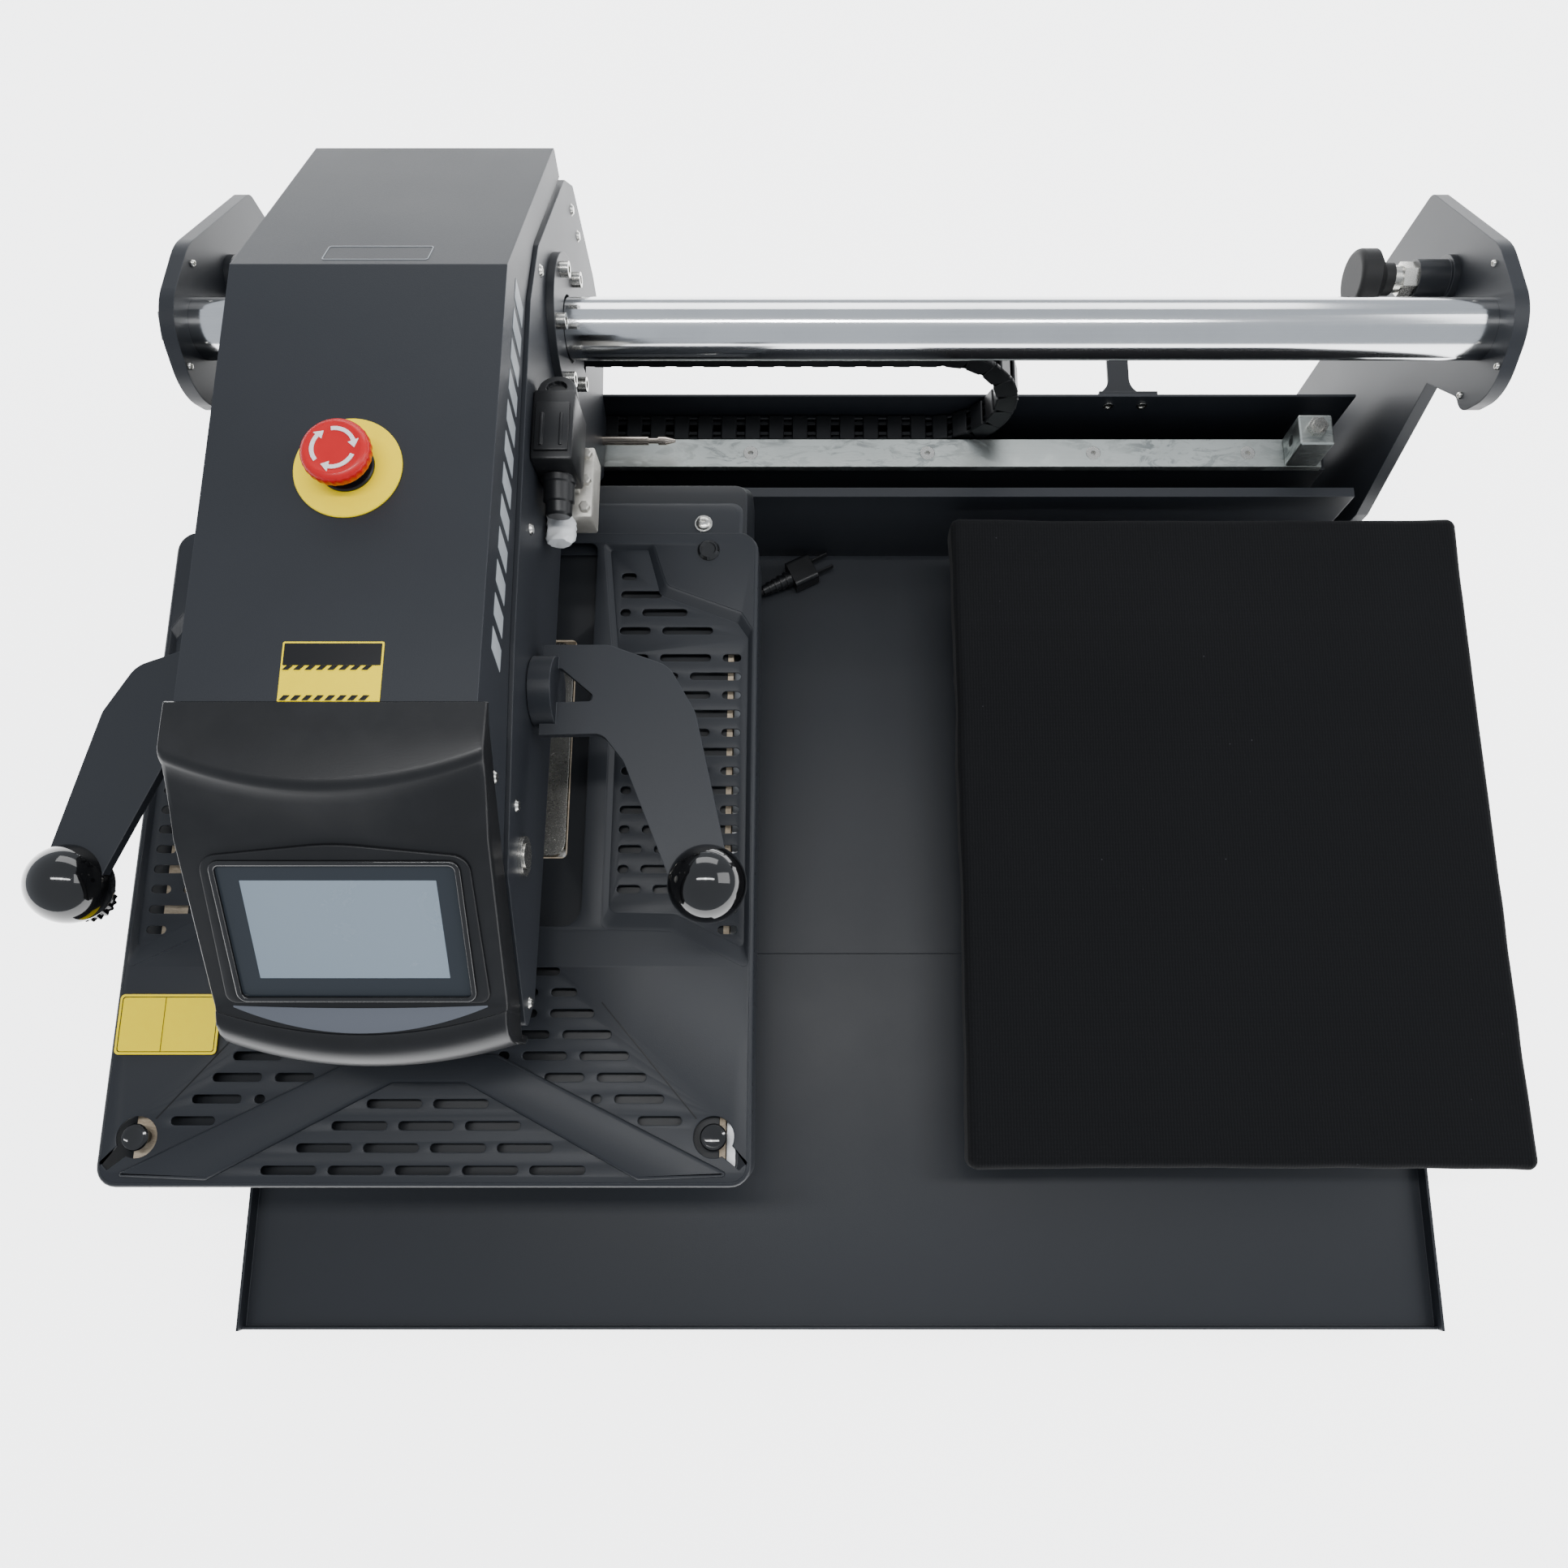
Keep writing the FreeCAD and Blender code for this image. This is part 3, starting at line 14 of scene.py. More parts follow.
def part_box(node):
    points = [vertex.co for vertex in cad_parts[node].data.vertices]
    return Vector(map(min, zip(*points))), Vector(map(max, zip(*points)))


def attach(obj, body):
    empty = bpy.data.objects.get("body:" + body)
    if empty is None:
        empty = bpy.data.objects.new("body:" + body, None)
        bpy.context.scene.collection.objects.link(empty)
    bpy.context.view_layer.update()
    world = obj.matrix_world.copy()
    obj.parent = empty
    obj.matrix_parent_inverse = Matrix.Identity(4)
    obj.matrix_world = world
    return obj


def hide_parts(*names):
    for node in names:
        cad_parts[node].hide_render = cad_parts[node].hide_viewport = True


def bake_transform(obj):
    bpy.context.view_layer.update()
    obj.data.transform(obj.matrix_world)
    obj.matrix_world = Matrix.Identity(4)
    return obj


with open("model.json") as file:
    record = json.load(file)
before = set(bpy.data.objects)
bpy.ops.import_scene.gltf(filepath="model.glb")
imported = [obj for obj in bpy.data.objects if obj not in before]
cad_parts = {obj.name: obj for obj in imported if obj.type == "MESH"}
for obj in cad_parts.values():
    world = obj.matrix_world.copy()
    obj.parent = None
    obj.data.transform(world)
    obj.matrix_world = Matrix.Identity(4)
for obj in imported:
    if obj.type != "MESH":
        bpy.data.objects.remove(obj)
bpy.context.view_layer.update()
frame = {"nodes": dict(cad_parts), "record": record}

LOG = logging.getLogger("heat_press")
MM = 0.001
Point = tuple[float, float, float]
Colour = tuple[float, float, float, float]
Pair = tuple[float, float]
Outline = list[Pair]


def rgb(red: float, green: float, blue: float) -> Colour:
    """Opaque linear colour."""
    return (red, green, blue, 1.0)


def shade(colour: Colour, factor: float, lift: float = 0.0) -> Colour:
    """Darker or lighter version of a colour.

    Args:
        colour: the colour to start from.
        factor: multiplies each channel.
        lift: is added to each channel.

    Returns:
        The new colour, with no channel above 1.
    """
    return rgb(*(min(1.0, factor * channel + lift) for channel in colour[:3]))


# ------------------------------------------------------------------ places in the frame
@dataclass(frozen=True)
class Place:
    """The box of one CAD node at rest, in metres."""

    low: Vector
    high: Vector

    @classmethod
    def of(cls, node: str) -> "Place":
        """Box of the named node."""
        return cls(*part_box(node))

    @property
    def middle(self) -> Vector:
        """Centre of the box."""
        return (self.low + self.high) / 2

    @property
    def size(self) -> Vector:
        """Extent of the box."""
        return self.high - self.low


# ------------------------------------------------------------------ shader wiring
class Sock:
    """One output socket of a material, used in Python expressions."""

    def __init__(self, paint: "Paint", socket: bpy.types.NodeSocket) -> None:
        """Wraps a socket.

        Args:
            paint: the material that the socket belongs to.
            socket: the output socket.
        """
        self.paint = paint
        self.socket = socket

    def _join(self, operation: str, first: "Sock | float", second: "Sock | float") -> "Sock":
        """Math node of two values."""
        return self.paint.node("ShaderNodeMath", {"operation": operation}, {0: first, 1: second})

    def __add__(self, other: "Sock | float") -> "Sock":
        """Sum."""
        return self._join("ADD", self, other)

    def __radd__(self, other: float) -> "Sock":
        """Sum with a number on the left."""
        return self._join("ADD", other, self)

    def __sub__(self, other: "Sock | float") -> "Sock":
        """Difference."""
        return self._join("SUBTRACT", self, other)

    def __rsub__(self, other: float) -> "Sock":
        """Difference from a number on the left."""
        return self._join("SUBTRACT", other, self)

    def __mul__(self, other: "Sock | float") -> "Sock":
        """Product."""
        return self._join("MULTIPLY", self, other)

    def __rmul__(self, other: float) -> "Sock":
        """Product with a number on the left."""
        return self._join("MULTIPLY", other, self)

    def __gt__(self, other: "Sock | float") -> "Sock":
        """1 where this value is the greater, and 0 elsewhere."""
        return self._join("GREATER_THAN", self, other)


class Paint:
    """A procedural material while it is wired."""

    def __init__(self, name: str) -> None:
        """Starts a material with a Principled shader.

        Args:
            name: the material's name.
        """
        self.material = bpy.data.materials.new(name)
        self.material.use_nodes = True
        self.tree = self.material.node_tree
        self.shader = self.tree.nodes["Principled BSDF"]
        self._coords: Sock | None = None

    def node(self, kind: str, settings: dict | None = None, inputs: dict | None = None,
             out: int | str = 0) -> Sock:
        """Adds a node.

        Args:
            kind: the node's type.
            settings: properties, which are set first.
            inputs: socket names or indexes, with values or other sockets.
            out: the output that is wanted.

        Returns:
            The output, ready for more expressions.
        """
        made = self.tree.nodes.new(kind)
        for key, value in (settings or {}).items():
            setattr(made, key, value)
        for key, value in (inputs or {}).items():
            if isinstance(value, Sock):
                self.tree.links.new(value.socket, made.inputs[key])
            else:
                made.inputs[key].default_value = value
        return Sock(self, made.outputs[out])

    @property
    def coords(self) -> Sock:
        """Coordinates of the piece itself, in metres, which move with it."""
        if self._coords is None:
            self._coords = self.node("ShaderNodeTexCoord", out="Object")
        return self._coords

    def stretched(self, scale: Point) -> Sock:
        """The piece's coordinates, multiplied axis by axis."""
        return self.node("ShaderNodeVectorMath", {"operation": "MULTIPLY"}, {0: self.coords, 1: scale})

    def noise(self, scale: float, detail: float = 3.0, rough: float = 0.5,
              along: Sock | None = None, distortion: float = 0.0) -> Sock:
        """Fractal noise between 0 and 1.

        Args:
            scale: cells per metre.
            detail: number of octaves.
            rough: strength of the finer octaves.
            along: coordinates, where they aren't the piece's own.
            distortion: swirl of the pattern.

        Returns:
            The noise value.
        """
        return self.node("ShaderNodeTexNoise", {}, {
            "Vector": along or self.coords, "Scale": scale, "Detail": detail, "Roughness": rough,
            "Distortion": distortion})

    def span(self, value: Sock, low: float, high: float) -> Sock:
        """Smooth step from 0 at low to 1 at high."""
        return self.node("ShaderNodeMapRange", {"interpolation_type": "SMOOTHSTEP"},
                         {"Value": value, "From Min": low, "From Max": high})

    def mix(self, factor: Sock | float, first: Sock | Colour, second: Sock | Colour) -> Sock:
        """Colour mix: the first where the factor is 0, the second where it is 1."""
        return self.node("ShaderNodeMix", {"data_type": "RGBA"}, {0: factor, 6: first, 7: second}, out=2)

    def edges(self, radius: float) -> Sock:
        """Normals rounded over sharp edges, so that they catch the light."""
        return self.node("ShaderNodeBevel", {"samples": 4}, {"Radius": radius})

    def edge_mask(self, rounded: Sock) -> Sock:
        """Value that rises along sharp edges, from normals given by edges()."""
        true_normal = self.node("ShaderNodeNewGeometry", out="Normal")
        dot = self.node("ShaderNodeVectorMath", {"operation": "DOT_PRODUCT"},
                        {0: rounded, 1: true_normal}, out="Value")
        return self.span(1.0 - dot, 0.004, 0.10)

    def bump(self, height: Sock, strength: float, distance: float, normal: Sock | None = None) -> Sock:
        """Normal from a height pattern."""
        inputs = {"Height": height, "Strength": strength, "Distance": distance}
        if normal is not None:
            inputs["Normal"] = normal
        return self.node("ShaderNodeBump", {}, inputs)

    def feed(self, **sources: "Sock | float | Colour") -> bpy.types.Material:
        """Sets or links the shader's sockets.

        Args:
            sources: socket names with _ for a space, and a value or a varying input.

        Returns:
            The finished material.
        """
        for key, value in sources.items():
            socket = self.shader.inputs[key.replace("_", " ")]
            if isinstance(value, Sock):
                self.tree.links.new(value.socket, socket)
            else:
                socket.default_value = value
        return self.material


# ------------------------------------------------------------------ finishes
@dataclass(frozen=True)
class Finish:
    """A surface finish; each kind wires its own material once."""

    name: str

    def material(self) -> bpy.types.Material:
        """The finish's material, made at its first use."""
        title = self.name + "_finish"
        return bpy.data.materials.get(title) or self.wire(Paint(title))

    def wire(self, paint: Paint) -> bpy.types.Material:
        """Wires the material; every kind has its own."""
        raise NotImplementedError


@dataclass(frozen=True)
class PowderCoat(Finish):
    """Fine-grained powder coat on sheet steel, with dust and a painted highlight along its edges."""

    colour: Colour = rgb(0.0175, 0.0198, 0.0245)
    # Lighter tone of the dust, also used as the painted highlight along the edges.
    dust_and_edge_highlight: Colour = rgb(0.066, 0.071, 0.081)
    gloss: float = 0.44
    grain: float = 1500.0
    edge: float = 0.0009

    def wire(self, paint: Paint) -> bpy.types.Material:
        """Coat with grain, faint cloudiness, dust, rounded edges and a painted highlight along them."""
        rounded = paint.edges(self.edge)
        dust_and_edge_highlight = paint.edge_mask(rounded)
        cloud = paint.noise(7.0, 4.0, 0.55)
        dust = paint.span(paint.noise(2600.0, 2.0, 0.6), 0.66, 0.78) * paint.span(paint.noise(30.0), 0.4, 0.7)
        grain = paint.noise(self.grain, 2.0, 0.6)
        base = paint.mix(cloud, shade(self.colour, 0.82), self.colour)
        base = paint.mix(dust * 0.25, base, self.dust_and_edge_highlight)
        # Painted highlight: the sharp edges are lightened towards the dust tone.
        base = paint.mix(dust_and_edge_highlight * 0.55, base, self.dust_and_edge_highlight)
        rough = self.gloss + (cloud - 0.5) * 0.14 + (grain - 0.5) * 0.12
        return paint.feed(Base_Color=base, Roughness=rough, Specular_IOR_Level=0.32,
                          Normal=paint.bump(grain, 0.35, 0.00012, rounded))


@dataclass(frozen=True)
class Metal(Finish):
    """Turned, ground or plated metal."""

    colour: Colour = rgb(0.72, 0.73, 0.74)
    dull: Colour = rgb(0.42, 0.43, 0.44)
    gloss: float = 0.22
    lines: Point = (60.0, 2600.0, 2600.0)
    edge: float = 0.0004
    stains: float = 0.0

    def wire(self, paint: Paint) -> bpy.types.Material:
        """Tool marks along one direction, with stains where the finish has them."""
        rounded = paint.edges(self.edge)
        marks = paint.noise(1.0, 3.0, 0.65, paint.stretched(self.lines))
        patches = paint.noise(9.0, 5.0, 0.6)
        base = paint.mix(paint.span(patches, 0.3, 0.75) * 0.35 + marks * 0.2, self.colour, self.dull)
        rough = self.gloss + (marks - 0.5) * 0.16 + (patches - 0.5) * 0.10
        if self.stains:
            drops = paint.noise(34.0, 6.0, 0.68, paint.stretched((1.0, 2.2, 1.0)), 1.6)
            blotch = paint.span(drops, 0.47, 0.62)
            where = paint.span(paint.noise(8.0, 2.0), 0.35, 0.6)
            base = paint.mix(blotch * where * self.stains, base, self.dull)
            rough = rough + blotch * 0.16
        return paint.feed(Base_Color=base, Metallic=1.0, Roughness=rough,
                          Normal=paint.bump(marks, 0.12, 0.00006, rounded))


@dataclass(frozen=True)
class Plastic(Finish):
    """Moulded plastic with a spark-eroded grain, or polished."""

    colour: Colour = rgb(0.0065, 0.0068, 0.0078)
    gloss: float = 0.36
    coat: float = 0.0
    grain: float = 1100.0
    relief: float = 0.25
    edge: float = 0.0006

    def wire(self, paint: Paint) -> bpy.types.Material:
        """Grain, handling marks and rounded edges."""
        rounded = paint.edges(self.edge)
        grain = paint.noise(self.grain, 2.0, 0.55)
        wear = paint.noise(22.0, 5.0, 0.62)
        lighter = shade(self.colour, 1.35, 0.004)
        base = paint.mix(paint.span(wear, 0.35, 0.8) * 0.6, self.colour, lighter)
        rough = self.gloss + (wear - 0.5) * 0.14
        return paint.feed(Base_Color=base, Roughness=rough, Coat_Weight=self.coat, Coat_Roughness=0.03,
                          Specular_IOR_Level=0.34, Normal=paint.bump(grain, self.relief, 0.00010, rounded))


@dataclass(frozen=True)
class Knit(Finish):
    """Fine black rib-knit cloth with a little lint."""

    colour: Colour = rgb(0.0030, 0.0031, 0.0037)
    # Painted light on the raised stitches; the grooves keep the darker colour as painted shade.
    raised: Colour = rgb(0.0085, 0.0088, 0.0100)
    lint: Colour = rgb(0.10, 0.10, 0.11)
    rib: float = 900.0

    def bands(self, paint: Paint, across: str, scale: float, distortion: float) -> Sock:
        """Parallel rows of stitches.

        Args:
            paint: the material.
            across: the axis that the rows are counted along.
            scale: the wave texture's scale.
            distortion: unevenness of the rows.

        Returns:
            The pattern, between 0 and 1.
        """
        return paint.node("ShaderNodeTexWave", {"wave_type": "BANDS", "bands_direction": across},
                          {"Vector": paint.coords, "Scale": scale, "Distortion": distortion,
                           "Detail": 1.0, "Detail Scale": 3.0}, out="Fac")

    def wire(self, paint: Paint) -> bpy.types.Material:
        """Two crossed rows of stitches with painted shade between them, slow shading and lint."""
        ribs = self.bands(paint, "X", self.rib / 6.28, 1.2)
        rows = self.bands(paint, "Y", self.rib / 9.0, 1.6)
        stitches = ribs * (0.55 + rows * 0.45)
        slow = paint.noise(6.0, 4.0, 0.6)
        speck = paint.node("ShaderNodeTexVoronoi", {"feature": "F1"},
                           {"Vector": paint.coords, "Scale": 75.0, "Randomness": 1.0}, out="Distance")
        keep = paint.noise(75.0, 0.0) > 0.62
        lint = (1.0 - paint.span(speck, 0.015, 0.04)) * keep
        # Stitches painted lighter than the grooves between them: painted light and shade.
        base = paint.mix(stitches * 0.6 + slow * 0.25, self.colour, self.raised)
        base = paint.mix(lint * 0.7, base, self.lint)
        return paint.feed(Base_Color=base, Roughness=0.92, Sheen_Weight=0.03, Sheen_Roughness=0.45,
                          Specular_IOR_Level=0.16,
                          Normal=paint.bump(stitches + slow * 1.5, 0.30, 0.00035))


@dataclass(frozen=True)
class Fleece(Finish):
    """Cream insulation wool with coarse fibres."""

    colour: Colour = rgb(0.74, 0.63, 0.48)
    shade: Colour = rgb(0.46, 0.36, 0.25)

    def wire(self, paint: Paint) -> bpy.types.Material:
        """Matted fibres in two directions."""
        fibres = paint.noise(1.0, 4.0, 0.7, paint.stretched((300.0, 2200.0, 900.0)), 0.8)
        clumps = paint.noise(120.0, 4.0, 0.65)
        base = paint.mix(paint.span(fibres * 0.6 + clumps * 0.4, 0.35, 0.65), self.shade, self.colour)
        return paint.feed(Base_Color=base, Roughness=0.95,
                          Normal=paint.bump(fibres + clumps, 0.7, 0.0006))


@dataclass(frozen=True)
class Screen(Finish):
    """Dark touch glass with faint finger marks."""

    colour: Colour = rgb(0.022, 0.027, 0.033)
    gloss: float = 0.10

    def wire(self, paint: Paint) -> bpy.types.Material:
        """Smudges in the gloss, and a slow tint."""
        smudge = paint.noise(26.0, 5.0, 0.7, distortion=0.8)
        tint = paint.noise(5.0, 2.0)
        base = paint.mix(tint, self.colour, shade(self.colour, 1.18))
        rough = self.gloss + paint.span(smudge, 0.5, 0.75) * 0.16
        return paint.feed(Base_Color=base, Roughness=rough, Specular_IOR_Level=0.3)


@dataclass(frozen=True)
class Print(Finish):
    """Printed vinyl film: flat ink with a satin laminate, glowing a little as painted light where glow is set."""

    colour: Colour = rgb(1.0, 0.80, 0.0)
    glow: float = 0.0

    def wire(self, paint: Paint) -> bpy.types.Material:
        """Ink mottle under a laminate, and the ink's glow as painted light."""
        mottle = paint.noise(160.0, 3.0, 0.6)
        # The emission of the ink colour is painted light: the print is no lamp.
        return paint.feed(Base_Color=paint.mix(mottle, self.colour, shade(self.colour, 0.88)),
                          Roughness=0.42 + (mottle - 0.5) * 0.10, Specular_IOR_Level=0.2,
                          Emission_Color=self.colour, Emission_Strength=self.glow,
                          Normal=paint.bump(mottle, 0.05, 0.0001))


class Coats(Enum):
    """Every finish of the machine, by the record's material slot or by its use."""

    CHARCOAL = PowderCoat("charcoal_coat")
    BLACK = PowderCoat("black_coat", rgb(0.0125, 0.0140, 0.0170), rgb(0.050, 0.054, 0.061), 0.42)
    CHROME = Metal("chrome_shaft", rgb(0.80, 0.81, 0.82), rgb(0.52, 0.53, 0.54), 0.13,
                   (3.0, 900.0, 900.0), 0.0006)
    ZINC = Metal("zinc_bar", rgb(0.60, 0.63, 0.60), rgb(0.20, 0.22, 0.22), 0.36,
                 (25.0, 900.0, 900.0), 0.0006, 0.85)
    BRIGHT = Metal("bright_fastener", rgb(0.66, 0.65, 0.61), rgb(0.33, 0.32, 0.30), 0.26,
                   (800.0, 800.0, 800.0))
    PIN = Metal("pin_steel", rgb(0.60, 0.53, 0.46), rgb(0.28, 0.24, 0.21), 0.24,
                (900.0, 200.0, 200.0))
    PLATEN = Metal("platen_aluminium", rgb(0.62, 0.63, 0.64), rgb(0.36, 0.37, 0.38), 0.34,
                   (900.0, 40.0, 900.0), 0.0006)
    CAST = Metal("cast_valve", rgb(0.62, 0.60, 0.55), rgb(0.30, 0.29, 0.27), 0.48,
                 (420.0, 420.0, 420.0), 0.0008, 0.5)
    PLASTIC = Plastic("black_plastic")
    GLOSS = Plastic("gloss_black", rgb(0.0030, 0.0030, 0.0034), 0.09, 0.7, 300.0, 0.02)
    RUBBER = Plastic("black_rubber", rgb(0.0055, 0.0055, 0.006), 0.62, 0.0, 700.0, 0.45, 0.0009)
    SILICONE = Plastic("silicone_pad", rgb(0.30, 0.055, 0.035), 0.62, 0.0, 380.0, 0.35)
    WRAP = Plastic("white_wrap", rgb(0.66, 0.67, 0.68), 0.42, 0.0, 500.0, 0.4, 0.0012)
    RED = Plastic("stop_red", rgb(0.50, 0.003, 0.006), 0.36, 0.10, 900.0, 0.12)
    # The yellow print glows a little: painted light that brightens it.
    YELLOW = Print("stop_yellow", rgb(0.95, 0.72, 0.0), 0.22)
    WHITE = Print("white_ink", rgb(0.82, 0.80, 0.80))
    INK = Print("black_ink", rgb(0.012, 0.012, 0.013))
    SILVER = Print("silver_ink", rgb(0.30, 0.32, 0.34))
    KNIT = Knit("knit_cloth")
    WOOL = Fleece("insulation_wool")
    GLASS = Screen("screen_glass")
    # The display's light blue-grey colour is a painted reflection of the sky on the switched-off screen.
    DISPLAY = Screen("display_area", rgb(0.20, 0.245, 0.29), 0.22)
    # The chin strip is painted lighter than the moulding around it: a painted reflection.
    STRIP = PowderCoat("satin_strip", rgb(0.115, 0.125, 0.148), rgb(0.18, 0.19, 0.21), 0.36)

    def dress(self, piece: bpy.types.Object) -> None:
        """Gives a piece this finish all over."""
        piece.data.materials.clear()
        piece.data.materials.append(self.value.material())

    @classmethod
    def by_slot(cls, slot: str) -> "Coats":
        """The finish of a material slot of the record."""
        return next(coat for coat in cls if coat.value.name == slot)


# ------------------------------------------------------------------ mesh tools
def arc(centre: Pair, radius: float, start: float, end: float, count: int) -> Outline:
    """Points on an arc.

    Args:
        centre: its centre.
        radius: its radius.
        start: first angle in degrees.
        end: last angle in degrees.
        count: number of segments.

    Returns:
        The points, one more than the segments.
    """
    angles = [math.radians(start + (end - start) * i / count) for i in range(count + 1)]
    return [(centre[0] + radius * math.cos(a), centre[1] + radius * math.sin(a)) for a in angles]


def rounded(corners: Sequence[tuple[float, float, float]], steps: int = 6) -> Outline:
    """Closed outline whose corners are rounded.

    Args:
        corners: (x, y, radius) of each corner, in order.
        steps: segments of each arc.

    Returns:
        The outline's points.
    """
    points: Outline = []
    for i, (x, y, radius) in enumerate(corners):
        corner = Vector((x, y))
        if radius <= 0:
            points.append((x, y))
            continue
        back = (Vector(corners[i - 1][:2]) - corner).normalized()
        ahead = (Vector(corners[(i + 1) % len(corners)][:2]) - corner).normalized()
        half = back.angle(ahead) / 2
        reach = radius / math.tan(half)
        centre = corner + (back + ahead).normalized() * (radius / math.sin(half))
        start = corner + back * reach - centre
        end = corner + ahead * reach - centre
        turn = start.angle_signed(end)
        for k in range(steps + 1):
            spoke = start.copy()
            spoke.rotate(Matrix.Rotation(-turn * k / steps, 2))
            points.append(tuple(centre + spoke))
    return points


def rectangle(x0: float, x1: float, y0: float, y1: float, radius: float = 0.0) -> Outline:
    """Rounded rectangle, counter-clockwise."""
    return rounded([(x0, y0, radius), (x1, y0, radius), (x1, y1, radius), (x0, y1, radius)])


def slot_outline(x: float, y: float, length: float, radius: float) -> Outline:
    """Round-ended slot along X.

    Args:
        x: middle of the slot.
        y: its row.
        length: distance between the centres of its ends.
        radius: radius of its ends.

    Returns:
        The slot's outline.
    """
    half = length / 2
    return arc((x + half, y), radius, -90, 90, 8) + arc((x - half, y), radius, 90, 270, 8)


def in_scene(name: str, data: bpy.types.ID) -> bpy.types.Object:
    """New object of the scene for a mesh, curve, light or camera."""
    made = bpy.data.objects.new(name, data)
    bpy.context.scene.collection.objects.link(made)
    return made


def noise_at(point: Vector) -> float:
    """Smooth repeatable noise between about -1 and 1."""
    return noise.noise(point)


def from_bmesh(name: str, shape: bmesh.types.BMesh, smooth: float = 35.0) -> bpy.types.Object:
    """Turns a bmesh into a scene object.

    Args:
        name: the piece's name.
        shape: the mesh; it is freed.
        smooth: largest angle in degrees that is shaded smooth.

    Returns:
        The object.
    """
    bmesh.ops.recalc_face_normals(shape, faces=shape.faces)
    data = bpy.data.meshes.new(name)
    shape.to_mesh(data)
    shape.free()
    data.shade_smooth()
    data.set_sharp_from_angle(angle=math.radians(smooth))
    return in_scene(name, data)


def plate(name: str, outlines: Sequence[Sequence[Pair]], low: float, high: float,
          bevel: float = 0.0004, where: Matrix | None = None) -> bpy.types.Object:
    """Flat plate with holes and bevelled edges, from a filled 2-D curve.

    Args:
        name: the piece's name.
        outlines: the outer outline, then the holes.
        low: the plate's lower face, along the plane's normal.
        high: its upper face.
        bevel: width of the rounded edge.
        where: placement of the plane.

    Returns:
        The piece.
    """
    curve = bpy.data.curves.new(name, "CURVE")
    curve.dimensions = "2D"
    curve.fill_mode = "BOTH"
    curve.extrude = (high - low) / 2 - bevel
    curve.bevel_depth = bevel
    curve.bevel_resolution = 2
    curve.offset = -bevel
    for outline in outlines:
        spline = curve.splines.new("POLY")
        spline.points.add(len(outline) - 1)
        for point, (x, y) in zip(spline.points, outline):
            point.co = (x, y, 0.0, 1.0)
        spline.use_cyclic_u = True
    holder = bpy.data.objects.new(name, curve)
    data = bpy.data.meshes.new_from_object(holder)
    bpy.data.objects.remove(holder)
    bpy.data.curves.remove(curve)
    shape = bmesh.new()
    shape.from_mesh(data)
    bpy.data.meshes.remove(data)
    bmesh.ops.remove_doubles(shape, verts=shape.verts, dist=1e-6)
    bmesh.ops.translate(shape, verts=shape.verts, vec=(0, 0, (low + high) / 2))
    bmesh.ops.transform(shape, verts=shape.verts, matrix=where or Matrix.Identity(4))
    return from_bmesh(name, shape)


def lathe(name: str, profile: Sequence[Pair], centre: Vector, axis: Vector,
          count: int = 48, ripple: Callable[[float, float], float] | None = None,
          smooth: float = 35.0) -> bpy.types.Object:
    """Turned piece.

    Args:
        name: the piece's name.
        profile: (radius, distance along the axis) points; closed at both ends.
        centre: where the axis starts.
        axis: its direction.
        count: facets around the axis.
        ripple: change of the radius from the angle and the distance along the axis.
        smooth: largest angle in degrees that is shaded smooth.

    Returns:
        The piece.
    """
    turn = Vector((0, 0, 1)).rotation_difference(axis.normalized()).to_matrix().to_4x4()
    shape = bmesh.new()
    rings = []
    for radius, along in profile:
        ring = []
        for i in range(count):
            angle = 2 * math.pi * i / count
            r = radius + (ripple(angle, along) if ripple and radius > 0 else 0.0)
            ring.append(shape.verts.new((r * math.cos(angle), r * math.sin(angle), along)))
        rings.append(ring)
    for first, second in zip(rings, rings[1:]):
        for i in range(count):
            j = (i + 1) % count
            shape.faces.new((first[i], first[j], second[j], second[i]))
    shape.faces.new(list(reversed(rings[0])))
    shape.faces.new(rings[-1])
    bmesh.ops.remove_doubles(shape, verts=shape.verts, dist=1e-7)
    bmesh.ops.transform(shape, verts=shape.verts, matrix=Matrix.Translation(centre) @ turn)
    return from_bmesh(name, shape, smooth)


def loft(name: str, rings: Sequence[Sequence[Vector]], closed: bool = False, caps: bool = False,
         smooth: float = 35.0) -> bpy.types.Object:
    """Surface through rows of points.

    Args:
        name: the piece's name.
        rings: rows with the same number of points.
        closed: whether each row is a loop.
        caps: whether the first and last rows are filled.
        smooth: largest angle in degrees that is shaded smooth.

    Returns:
        The piece.
    """
    shape = bmesh.new()
    rows = [[shape.verts.new(p) for p in ring] for ring in rings]
    last = len(rows[0]) if closed else len(rows[0]) - 1
    for first, second in zip(rows, rows[1:]):
        for i in range(last):
            j = (i + 1) % len(first)
            shape.faces.new((first[i], first[j], second[j], second[i]))
    if caps:
        shape.faces.new(list(reversed(rows[0])))
        shape.faces.new(rows[-1])
    bmesh.ops.remove_doubles(shape, verts=shape.verts, dist=1e-7)
    return from_bmesh(name, shape, smooth)


def block(name: str, low: Point, high: Point, bevel: float = 0.0008) -> bpy.types.Object:
    """Rectangular body with bevelled edges.

    Args:
        name: the piece's name.
        low: its lowest corner.
        high: its highest corner.
        bevel: width of its bevels.

    Returns:
        The piece.
    """
    shape = bmesh.new()
    bmesh.ops.create_cube(shape, size=1.0)
    size = Vector(high) - Vector(low)
    middle = (Vector(high) + Vector(low)) / 2
    stretch = Matrix.Diagonal((*size, 1.0))
    bmesh.ops.transform(shape, verts=shape.verts, matrix=Matrix.Translation(middle) @ stretch)
    bmesh.ops.bevel(shape, geom=list(shape.edges), offset=bevel, segments=2, affect="EDGES", profile=0.5)
    return from_bmesh(name, shape)


